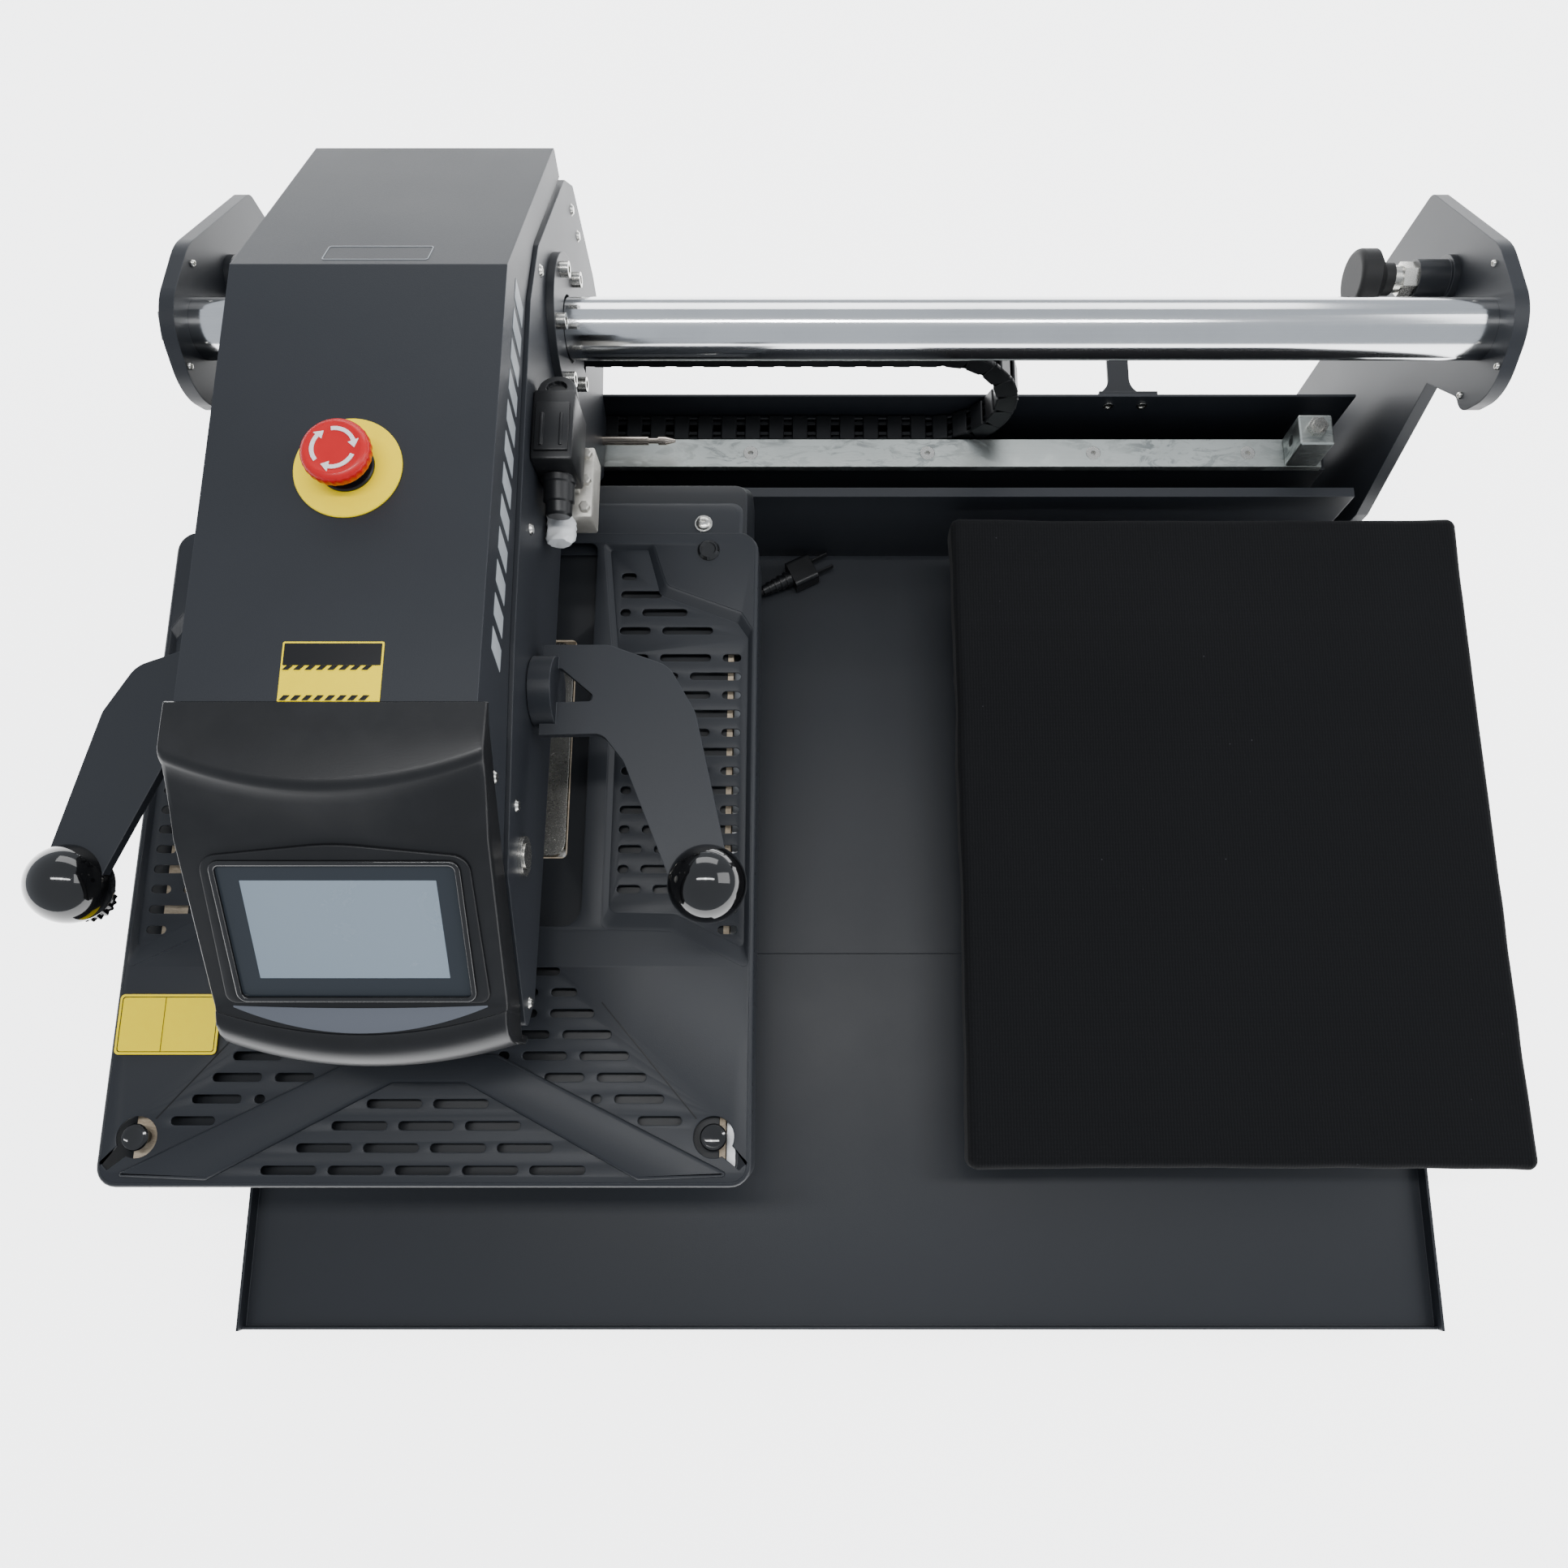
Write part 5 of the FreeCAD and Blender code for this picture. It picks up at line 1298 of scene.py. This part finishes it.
# ------------------------------------------------------------------ head
@dataclass
class Console:
    """Moulded console over the head's sloping front: hood, brow, screen frame and chin."""

    columns: int = 56
    bezel_half: Pair = (67.5 * MM, 43.5 * MM)
    slope: float = math.atan2(33.0, 46.0)

    def section(self, u: float) -> Outline:
        """Side profile at one place across the console.

        Args:
            u: 0 in the middle and 1 at the sides.

        Returns:
            (distance behind the tray's front, height over the tray) points in millimetres, from the
            back of the hood down to the lower edge of the chin.
        """
        bulge = 1 - u * u
        brow = 349 - 17 * bulge
        points = [(380, 390.4), (379.2, 391.4), (366, 391.8), (brow + 6, 392.0 + 0.6 * bulge)]
        points += [(brow + 6 - 9 * math.sin(a), 392.0 + 0.6 * bulge - 9 * (1 - math.cos(a)))
                   for a in (0.3, 0.6, 0.9, 1.15)]
        start = points[-1]
        end = (266 + 55 * math.cos(self.slope), 336.8 + 55 * math.sin(self.slope))
        points += [(start[0] + (end[0] - start[0]) * t, start[1] + (end[1] - start[1]) * t - 3.0 * t * (1 - t))
                   for t in (0.2, 0.4, 0.6, 0.8, 1.0)]
        points += [(266 - along * math.cos(self.slope), 336.8 - along * math.sin(self.slope))
                   for along in (-40, -20, 0, 20, 40, 47)]
        chin = points[-1]
        points += [(chin[0] - (3.3 + 13.2 * bulge) * t, chin[1] - (1.0 + 3.4 * bulge) * t)
                   for t in (0.35, 0.7, 0.95)]
        lip = (chin[0] - 3.3 - 13.4 * bulge, chin[1] - 0.2 - 3.2 * bulge)
        foot = (207.5 - 12.8 * bulge, 285.0)
        points += [lip, (lip[0] - 1.4, lip[1] - 0.2)]
        points += [(lip[0] - 1.4 + (foot[0] - lip[0] + 1.4) * math.sin(1.57 * t),
                    lip[1] - 0.2 + (foot[1] - lip[1] + 0.2) * (1 - math.cos(1.57 * t)))
                   for t in (0.25, 0.5, 0.75, 1.0)]
        points += [(foot[0] + 0.4, 276.0), (foot[0] + 2.0, 268.5), (foot[0] + 5.0, 266.4)]
        return points

    def build(self) -> None:
        """Builds the moulding, the screen's frame, its glass and the display."""
        slab = Place.of("lcd_panel")
        cover = Place.of("head_cover")
        x_mid = slab.middle.x
        origin = cover.low.y - 208 * MM
        deck = cover.high.z - 390 * MM
        sections = [self.section(abs(-1.0 + 2.0 * i / self.columns)) for i in range(self.columns + 1)]
        rows = []
        for k in range(len(sections[0])):
            half = (85.4 - 3.6 * k / (len(sections[0]) - 1)) * MM
            line = [Vector((x_mid + half * (-1.0 + 2.0 * i / self.columns), origin + sections[i][k][0] * MM,
                            deck + sections[i][k][1] * MM)) for i in range(self.columns + 1)]
            edges = []
            for end, side in ((line[0], -1), (line[-1], 1)):
                floor = min(self.floor_under(cover, end.y), end.z - 3 * MM)
                edges.append([Vector((end.x - side * 0.8 * MM, end.y, end.z)),
                              Vector((end.x - side * 0.15 * MM, end.y, end.z - 0.9 * MM)),
                              Vector((end.x, end.y, end.z - 2.4 * MM)), Vector((end.x, end.y, floor))])
            rows.append(list(reversed(edges[0])) + line[1:-1] + edges[1])
        moulding = loft("console_moulding", rows, smooth=42.0)
        solid = moulding.modifiers.new("wall", "SOLIDIFY")
        solid.thickness = 2.0 * MM
        solid.offset = -1.0
        place_piece(moulding, "head", Coats.PLASTIC, ("console_housing",))

        middle = Vector((x_mid, origin + 266 * MM, deck + 336.8 * MM))
        plane = Matrix.Translation(middle) @ Matrix.Rotation(self.slope, 4, "X")
        wide, tall = self.bezel_half
        surround = plate("screen_surround", [
            rounded([(-wide - 7 * MM, -tall - 1.2 * MM, 6 * MM), (wide + 7 * MM, -tall - 1.2 * MM, 6 * MM),
                     (wide + 5 * MM, tall + 2 * MM, 10 * MM), (0.0, tall + 9.5 * MM, 130 * MM),
                     (-wide - 5 * MM, tall + 2 * MM, 10 * MM)]),
            rectangle(-wide + 0.6 * MM, wide - 0.6 * MM, -tall + 0.6 * MM, tall - 0.6 * MM, 6 * MM)],
            -0.4 * MM, 1.9 * MM, 0.9 * MM, plane)
        place_piece(surround, "head", Coats.PLASTIC)
        bezel = plate("screen_bezel", [rectangle(-wide, wide, -tall, tall, 6 * MM),
                                       rectangle(-wide + 3.2 * MM, wide - 3.2 * MM, -tall + 3.2 * MM,
                                                 tall - 3.2 * MM, 3 * MM)],
                      -1.0 * MM, 3.4 * MM, 1.1 * MM, plane)
        place_piece(bezel, "head", Coats.GLOSS)
        glass = plate("screen_glass", [rectangle(-wide + 2.6 * MM, wide - 2.6 * MM, -tall + 2.6 * MM,
                                                 tall - 2.6 * MM, 3 * MM)], -0.5 * MM, 1.4 * MM, 0.2 * MM, plane)
        place_piece(glass, "head", Coats.GLASS, ("lcd_panel",))
        # The display's light blue-grey is a painted reflection on the switched-off screen.
        display = plate("screen_display", [rectangle(-52.5 * MM, 53.5 * MM, -28.5 * MM, 31.5 * MM, 0.4 * MM)],
                        1.35 * MM, 1.55 * MM, 0.05 * MM, plane)
        place_piece(display, "head", Coats.DISPLAY)

        land = []
        for t in (0.10, 0.55, 0.97):
            line = []
            for i in range(41):
                u = -1 + i / 20
                bulge = 1 - u * u
                d = 266 - 47 * math.cos(self.slope) - (1.0 + 15.0 * bulge) * t
                h = 336.8 - 47 * math.sin(self.slope) - (0.3 + 3.9 * bulge) * t + 0.30
                line.append(Vector((x_mid + u * 72 * MM, origin + d * MM, deck + h * MM)))
            land.append(line)
        # The chin strip is painted lighter than the moulding: a painted reflection.
        strip = loft("console_chin_strip", land, smooth=40.0)
        place_piece(strip, "head", Coats.STRIP)

    def floor_under(self, cover: Place, y: float) -> float:
        """Height of the head cover's sloping front under a point."""
        share = min(max((y - cover.low.y) / (168 * MM), 0.0), 1.0)
        return cover.high.z - 122 * MM * (1 - share) + 0.2 * MM


@dataclass
class StopButton:
    """Emergency stop: yellow ring plate, collar and a red mushroom with printed arrows."""

    lobes: int = 28
    knurl: float = 0.45 * MM

    def build(self) -> None:
        """Builds the ring, the collar and the cap in place of the plain CAD ones."""
        cap_box = Place.of("estop_button")
        centre = Vector((cap_box.middle.x, cap_box.middle.y, 0))
        deck = Place.of("head_cover").high.z
        radius = cap_box.size.x / 2
        high = cap_box.high.z
        foot = cap_box.low.z
        up = Vector((0, 0, 1))
        disc = lathe("stop_ring_plate",
                     [(15 * MM, 0.0), (29.4 * MM, 0.0), (30 * MM, 0.3 * MM), (30 * MM, 1.0 * MM),
                      (29.5 * MM, 1.5 * MM), (15 * MM, 1.5 * MM)],
                     Vector((centre.x, centre.y, deck)), up, 72)
        place_piece(disc, "head", Coats.YELLOW, ("estop_collar",))
        collar = lathe("stop_collar",
                       [(8.4 * MM, 0.0), (15.2 * MM, 0.0), (15.3 * MM, 1.2 * MM), (14.5 * MM, 1.9 * MM),
                        (11.4 * MM, 2.1 * MM), (11.0 * MM, 6.0 * MM), (8.4 * MM, 6.4 * MM)],
                       Vector((centre.x, centre.y, deck + 1.4 * MM)), up, 56)
        place_piece(collar, "head", Coats.PLASTIC)
        height = high - foot

        def knurled(angle: float, along: float) -> float:
            """Grip ripples around the cap's rim."""
            if not 0.30 * height < along < 0.80 * height:
                return 0.0
            return self.knurl * (0.5 + 0.5 * math.cos(self.lobes * angle)) - self.knurl

        tall = [(0.0, 0.60), (12.8 * MM, 0.60), (13.3 * MM, 0.06), (14.6 * MM, 0.0), (15.6 * MM, 0.04),
                (radius * 0.94, 0.27), (radius * 0.985, 0.36), (radius, 0.46), (radius, 0.68),
                (radius * 0.975, 0.81), (radius * 0.91, 0.92), (radius * 0.83, 0.985), (radius * 0.77, 0.99), (radius * 0.71, 0.955),
                (radius * 0.35, 0.97), (0.0, 0.975)]
        cap = lathe("stop_cap", [(r, share * height) for r, share in tall],
                    Vector((centre.x, centre.y, foot)), up, 168, knurled, 50.0)
        place_piece(cap, "stop_cap", Coats.RED, ("estop_button",))
        arrows = []
        for k in range(3):
            start = 100 + 120 * k
            outer = arc((0, 0), radius * 0.66, start, start - 78, 14)
            inner = arc((0, 0), radius * 0.54, start - 78, start, 14)
            tip_angle = math.radians(start - 100)
            tip = (radius * 0.60 * math.cos(tip_angle), radius * 0.60 * math.sin(tip_angle))
            barb_angle = math.radians(start - 78)
            barbs = [(radius * r * math.cos(barb_angle), radius * r * math.sin(barb_angle)) for r in (0.76, 0.44)]
            outline = outer + [barbs[0], tip, barbs[1]] + inner
            arrow = plate("arrow", [outline], 0.93 * height, 0.995 * height, 0.05 * MM,
                          Matrix.Translation((centre.x, centre.y, foot)))
            Coats.WHITE.dress(arrow)
            arrows.append(arrow)
        place_piece(join("stop_cap_arrows", arrows), "stop_cap", None)


@dataclass
class SideFittings:
    """Plug-in connector, air valve and wrapped joint on the head's right side; socket box on its left."""

    def build(self) -> None:
        """Builds both groups in place of the plain CAD blocks."""
        box = Place.of("side_connectors")
        x0 = box.low.x
        y0 = box.low.y
        mid = x0 + 13 * MM
        z0 = box.low.z
        corner = Vector((x0, y0, z0))

        def part(name: str, low: Point, high: Point, bevel: float) -> bpy.types.Object:
            """Block between two points in millimetres from the group's corner."""
            return block(name, corner + Vector(low) * MM, corner + Vector(high) * MM, bevel * MM)

        parts = [part("connector_body", (0, 22, 32), (26, 70, 69), 2.0),
                 part("connector_lid", (2.5, 27, 68.6), (23.5, 60, 71), 0.8),
                 part("connector_rib", (6, 30, 70.6), (8, 52, 72), 0.4),
                 part("connector_rib_b", (18, 30, 70.6), (20, 52, 72), 0.4)]

        def knurl(angle: float, along: float) -> float:
            """Finger grooves of the nut."""
            return -0.9 * MM * max(0.0, math.cos(9 * angle)) if 1.5 * MM < along < 12.5 * MM else 0.0

        nut = lathe("connector_nut",
                    [(0.0, 0.0), (11.0 * MM, 0.0), (12.0 * MM, 1.2 * MM), (12.0 * MM, 12.6 * MM),
                     (11.0 * MM, 14.0 * MM), (6.5 * MM, 14.2 * MM), (6.0 * MM, 12.0 * MM), (0.0, 12.0 * MM)],
                    Vector((mid, y0 + 70 * MM, z0 + 50 * MM)), Vector((0, 0.35, 1)), 72, knurl)
        sleeve = lathe("connector_sleeve", [(0.0, 0.0), (7.0 * MM, 0.0), (8.2 * MM, 1.5 * MM), (8.6 * MM, 8 * MM),
                                            (9.6 * MM, 9 * MM), (9.8 * MM, 20 * MM), (10.6 * MM, 21 * MM),
                                            (10.6 * MM, 25 * MM), (0.0, 25 * MM)],
                       Vector((mid, y0 - 1 * MM, z0 + 40 * MM)), Vector((0, 1, 0.2)), 40)
        parts += [nut, sleeve]
        for piece in parts:
            Coats.PLASTIC.dress(piece)
        group = join("plug_in_connector", parts)
        place_piece(group, "head", None, ("side_connectors",))
        valve_parts = [part("valve_body", (0, 8, 1), (30, 58, 24), 1.6),
                       part("valve_flange", (0, 24, 24), (22, 64, 30), 1.2)]
        bolt = [(0.0, 0.0), (3.6 * MM, 0.0), (3.6 * MM, 3.4 * MM), (2.9 * MM, 4.0 * MM), (0.0, 4.0 * MM)]
        for k in range(3):
            foot = corner + Vector((25.5, 14 + 19 * k, 24)) * MM
            valve_parts.append(lathe("valve_bolt", bolt, foot, Vector((0, 0, 1)), 6))
        for piece in valve_parts:
            Coats.CAST.dress(piece)
        place_piece(join("air_valve", valve_parts), "head", None)

        rows = []
        for k in range(13):
            t = k / 12
            centre = Vector((mid - 3 * MM, y0 + 12 * MM - 23 * MM * t,
                             z0 + 24 * MM - 5 * MM * math.sin(math.pi * t)))
            size = 8.6 * MM * (0.70 + 0.40 * math.sin(math.pi * min(max(t, 0.04), 0.96)) ** 0.5)
            row = []
            for i in range(28):
                a = 2 * math.pi * i / 28
                crease = 1 + 0.22 * noise_at(Vector((math.cos(a) * 2.6, math.sin(a) * 2.6, t * 7.0)))
                row.append(centre + Vector((math.cos(a) * size * crease, 0, math.sin(a) * size * crease * 0.85)))
            rows.append(row)
        wrap = loft("wrapped_joint", rows, closed=True, caps=True, smooth=50.0)
        place_piece(wrap, "head", Coats.WRAP)

        left = Place.of("side_box")
        shell = block("socket_box", left.low, left.high, 2.0 * MM)
        Coats.BLACK.dress(shell)
        pieces = [shell]
        for y in (-22, 0, 22):
            socket = lathe("socket",
                           [(3.0 * MM, -2 * MM), (7.6 * MM, -2 * MM), (8.4 * MM, -1.2 * MM), (8.4 * MM, 1.2 * MM),
                            (6.6 * MM, 2.2 * MM), (6.2 * MM, -0.5 * MM), (3.0 * MM, -0.5 * MM)],
                           Vector((left.low.x, left.middle.y + y * MM, left.middle.z)), Vector((-1, 0, 0)), 36)
            Coats.GLOSS.dress(socket)
            pieces.append(socket)
        place_piece(join("socket_box_group", pieces), "head", None, ("side_box",))


@dataclass
class BallKnobs:
    """Polished balls with a serrated collar on the ends of the handle arms."""

    teeth: int = 18

    def build(self) -> None:
        """Builds both balls in place of the CAD ones."""
        box = Place.of("ball_knobs")
        radius = box.size.z / 2
        axis = Vector((0, 0.25, 1))

        def teeth(angle: float, along: float) -> float:
            """Serrations of the collar."""
            return 0.8 * MM * math.cos(self.teeth * angle)

        pieces = []
        for x in (box.low.x + radius, box.high.x - radius):
            centre = Vector((x, box.middle.y, box.middle.z))
            profile = [(math.sin(math.radians(a)) * radius, -math.cos(math.radians(a)) * radius)
                       for a in range(0, 181, 6)]
            ball = lathe("ball", [(max(r, 0.0), z) for r, z in profile], centre, axis, 64)
            collar = lathe("collar",
                           [(0.0, -9.0 * MM), (10.0 * MM, -9.0 * MM), (12.5 * MM, -7.5 * MM),
                            (12.5 * MM, -3 * MM), (10.5 * MM, 0.0), (0.0, 0.0)],
                           centre + axis.normalized() * -radius * 0.86, axis, 90, teeth)
            pieces += [ball, collar]
        for piece in pieces:
            Coats.GLOSS.dress(piece)
        knobs = join("polished_balls", pieces)
        place_piece(knobs, "lever", None, ("ball_knobs",))


@dataclass
class Labels:
    """Blank stickers and plates, with no lettering."""

    film: float = 0.25 * MM

    def sticker(self, name: str, body: str, where: Matrix,
                layers: Sequence[tuple[Coats, Sequence[Outline]]]) -> None:
        """Builds one sticker out of printed layers.

        Args:
            name: the piece's name.
            body: the CAD body it is stuck to.
            where: its plane.
            layers: finish and outlines of each layer, from the film up.
        """
        made = []
        for k, (coat, outlines) in enumerate(layers):
            low = self.film * k
            part = plate("film", outlines, low, low + self.film * 1.1, 0.02 * MM, where)
            coat.dress(part)
            made.append(part)
        place_piece(join(name, made), body, None)

    def build(self) -> None:
        """Builds the hazard stickers, the data plate and the side stripe."""
        cover = Place.of("head_cover")
        heat = Place.of("heat_cover")
        x = cover.middle.x
        deck = Matrix.Translation((x + 1.5 * MM, cover.low.y + 188.5 * MM, cover.high.z + 0.05 * MM))
        stripes = [[(s, low), (s + 3.2, low), (s + 5.6, high), (s + 2.4, high)]
                   for low, high in ((-16, -13.2), (1.0, 3.4)) for s in range(-26, 22, 6)]
        scaled = [[(a * MM, b * MM) for a, b in loop] for loop in stripes]
        self.sticker("head_sticker", "head", deck, [
            (Coats.YELLOW, [rectangle(-27 * MM, 27 * MM, -17 * MM, 17 * MM, 1 * MM)]),
            (Coats.INK, [rectangle(-26 * MM, 26 * MM, 3.6 * MM, 16 * MM, 0.5 * MM)]),
            (Coats.INK, scaled)])
        front = Matrix.Translation((heat.low.x + 38.5 * MM, heat.low.y + 105.5 * MM, heat.high.z + 0.05 * MM))
        self.sticker("heat_sticker", "platen", front, [
            (Coats.YELLOW, [rectangle(-34 * MM, 34 * MM, -20 * MM, 20 * MM, 3 * MM)]),
            (Coats.INK, [rectangle(-32.4 * MM, 32.4 * MM, -18.4 * MM, 18.4 * MM, 2 * MM),
                         rectangle(-31.9 * MM, 31.9 * MM, -17.9 * MM, 17.9 * MM, 1.8 * MM)]),
            (Coats.INK, [rectangle(-3.3 * MM, -3.0 * MM, -17.9 * MM, 17.9 * MM)])])
        slope = math.atan2(82.0, 160.0)
        plane = (Matrix.Translation((x + 2 * MM, cover.high.y - 160 * MM + 14 * MM, cover.high.z - 7.0 * MM))
                 @ Matrix.Rotation(-slope, 4, "X"))
        outline = [rectangle(-31 * MM, 31 * MM, -9 * MM, 9 * MM, 2 * MM),
                   rectangle(-30.4 * MM, 30.4 * MM, -8.4 * MM, 8.4 * MM, 1.6 * MM)]
        flank = (Matrix.Translation((cover.high.x + 0.05 * MM, cover.low.y + 322 * MM, cover.high.z - 26 * MM))
                 @ Matrix(((0, 0, 1, 0), (1, 0, 0, 0), (0, 1, 0, 0), (0, 0, 0, 1))))
        dashes = [[(s, -9), (s + 13, -9), (s + 20, 9), (s + 7, 9)] for s in range(-120, 110, 20)]
        self.sticker("side_stripe", "head", flank, [
            (Coats.SILVER, [[(a * MM, b * MM) for a, b in loop] for loop in dashes])])
        self.sticker("data_plate", "head", plane, [
            (Coats.BLACK, [rectangle(-31.4 * MM, 31.4 * MM, -9.4 * MM, 9.4 * MM, 2 * MM)]),
            (Coats.SILVER, outline)])


@dataclass
class SmallHardware:
    """Small screws on the end plates, and the flange under the trough's edge."""

    radius: float = 2.3 * MM

    def screw(self, centre: Vector, axis: Vector) -> bpy.types.Object:
        """Pan-head screw with a socket.

        Args:
            centre: where its head meets the sheet.
            axis: direction that it faces.

        Returns:
            The screw.
        """
        radius = self.radius
        profile = [(0.0, -0.5 * MM), (radius, -0.5 * MM), (radius, 0.5 * radius), (0.82 * radius, 0.78 * radius),
                   (0.5 * radius, 0.82 * radius), (0.44 * radius, 0.35 * radius), (0.0, 0.35 * radius)]
        made = lathe("s", profile, centre, axis, 24)
        Coats.BRIGHT.dress(made)
        return made

    def build(self) -> None:
        """Builds the screws of the end plates and the trough's flange."""
        for side, word in ((-1, "left"), (1, "right")):
            box = Place.of("end_plate_" + word)
            shaft = Place.of("guide_shaft")
            face = box.low.x if side > 0 else box.high.x
            screws = []
            for dy, dz in ((34, 22), (30, -30), (-28, -34), (-36, 10)):
                centre = Vector((face, shaft.middle.y + dy * MM, shaft.middle.z + dz * MM))
                screws.append(self.screw(centre, Vector((-side, 0, 0))))
            place_piece(join("end_plate_screws_" + word, screws), "base", None)
        tray = Place.of("rear_tray")
        trough = Place.of("cable_trough")
        flange = block("trough_flange", (trough.low.x + 2 * MM, tray.high.y - 6 * MM, tray.middle.z - 8 * MM),
                       (trough.high.x - 2 * MM, trough.low.y + 1 * MM, tray.middle.z - 6 * MM), 0.4 * MM)
        place_piece(flange, "base", Coats.CHARCOAL)


# ------------------------------------------------------------------ studio
@dataclass
class Studio:
    """Pale floor, soft lights and the camera."""

    camera_at: Point = (-0.01652, -0.24174, 0.99359)
    tilt: float = 12.39
    lens: float = 26.09
    shift: Pair = (-0.0224, 0.0425)

    def area(self, name: str, place: Point, aim: Point, size: Pair, power: float) -> None:
        """Soft rectangular light aimed at a point.

        Args:
            name: the light's name.
            place: where it hangs.
            aim: the point that it faces.
            size: its two sides.
            power: its power in watts.
        """
        light = bpy.data.lights.new(name, "AREA")
        light.shape = "RECTANGLE"
        light.size, light.size_y = size
        light.energy = power
        lamp = in_scene(name, light)
        lamp.location = place
        lamp.rotation_euler = (Vector(aim) - Vector(place)).to_track_quat("-Z", "Y").to_euler()

    def build(self) -> None:
        """Sets up the floor, the lights and the camera."""
        shape = bmesh.new()
        bmesh.ops.create_grid(shape, x_segments=1, y_segments=1, size=6.0)
        floor = from_bmesh("floor", shape)
        pale = Paint("floor_paint")
        grain = pale.noise(3.0, 3.0)
        floor.data.materials.append(pale.feed(
            Base_Color=pale.mix(grain, rgb(0.90, 0.90, 0.90), rgb(0.93, 0.93, 0.93)), Roughness=0.9,
            Specular_IOR_Level=0.1, Emission_Color=rgb(1.0, 1.0, 1.0), Emission_Strength=3.4))
        world = bpy.data.worlds.new("studio")
        world.use_nodes = True
        world.node_tree.nodes["Background"].inputs[0].default_value = (0.86, 0.92, 1.0, 1.0)
        world.node_tree.nodes["Background"].inputs[1].default_value = 0.74
        bpy.context.scene.world = world
        self.area("panel_left", (-0.42, 0.0, 2.1), (-0.4, 0.0, 0.1), (0.12, 0.9), 10.0)
        self.area("panel_right", (0.30, 0.0, 2.1), (0.2, 0.0, 0.1), (0.12, 0.9), 10.0)
        self.area("soft_right", (1.9, 0.3, 1.7), (0.0, 0.0, 0.1), (1.2, 1.6), 22.0)
        self.area("soft_back", (0.0, 2.2, 1.5), (0.0, 0.1, 0.1), (2.4, 0.9), 26.0)
        data = bpy.data.cameras.new("camera")
        data.lens = self.lens
        data.sensor_width = 36.0
        data.shift_x, data.shift_y = self.shift
        data.clip_start = 0.01
        camera = in_scene("camera", data)
        camera.location = self.camera_at
        camera.rotation_euler = (math.radians(self.tilt), 0.0, 0.0)
        bpy.context.scene.camera = camera


def dress_cad_nodes() -> None:
    """Gives every carried-over CAD node the finish of its material slot."""
    for row in frame["record"]["subparts"]:
        piece = frame["nodes"][row["node"]]
        Coats.by_slot(row["material_slot"]).dress(piece)
        LOG.info("%s keeps its shape, in %s", row["node"], row["material_slot"])


def main() -> None:
    """Builds everything in order."""
    logging.basicConfig(level=logging.INFO, format="%(message)s")
    Studio().build()
    dress_cad_nodes()
    PowerCord().build()
    PlatenCover("left", seed=3.0).build()
    PlatenCover("right", seed=11.0).build()
    CableChain().build()
    HeatCover().build()
    Console().build()
    StopButton().build()
    SideFittings().build()
    BallKnobs().build()
    Labels().build()
    SmallHardware().build()


if __name__ == "__main__":
    main()
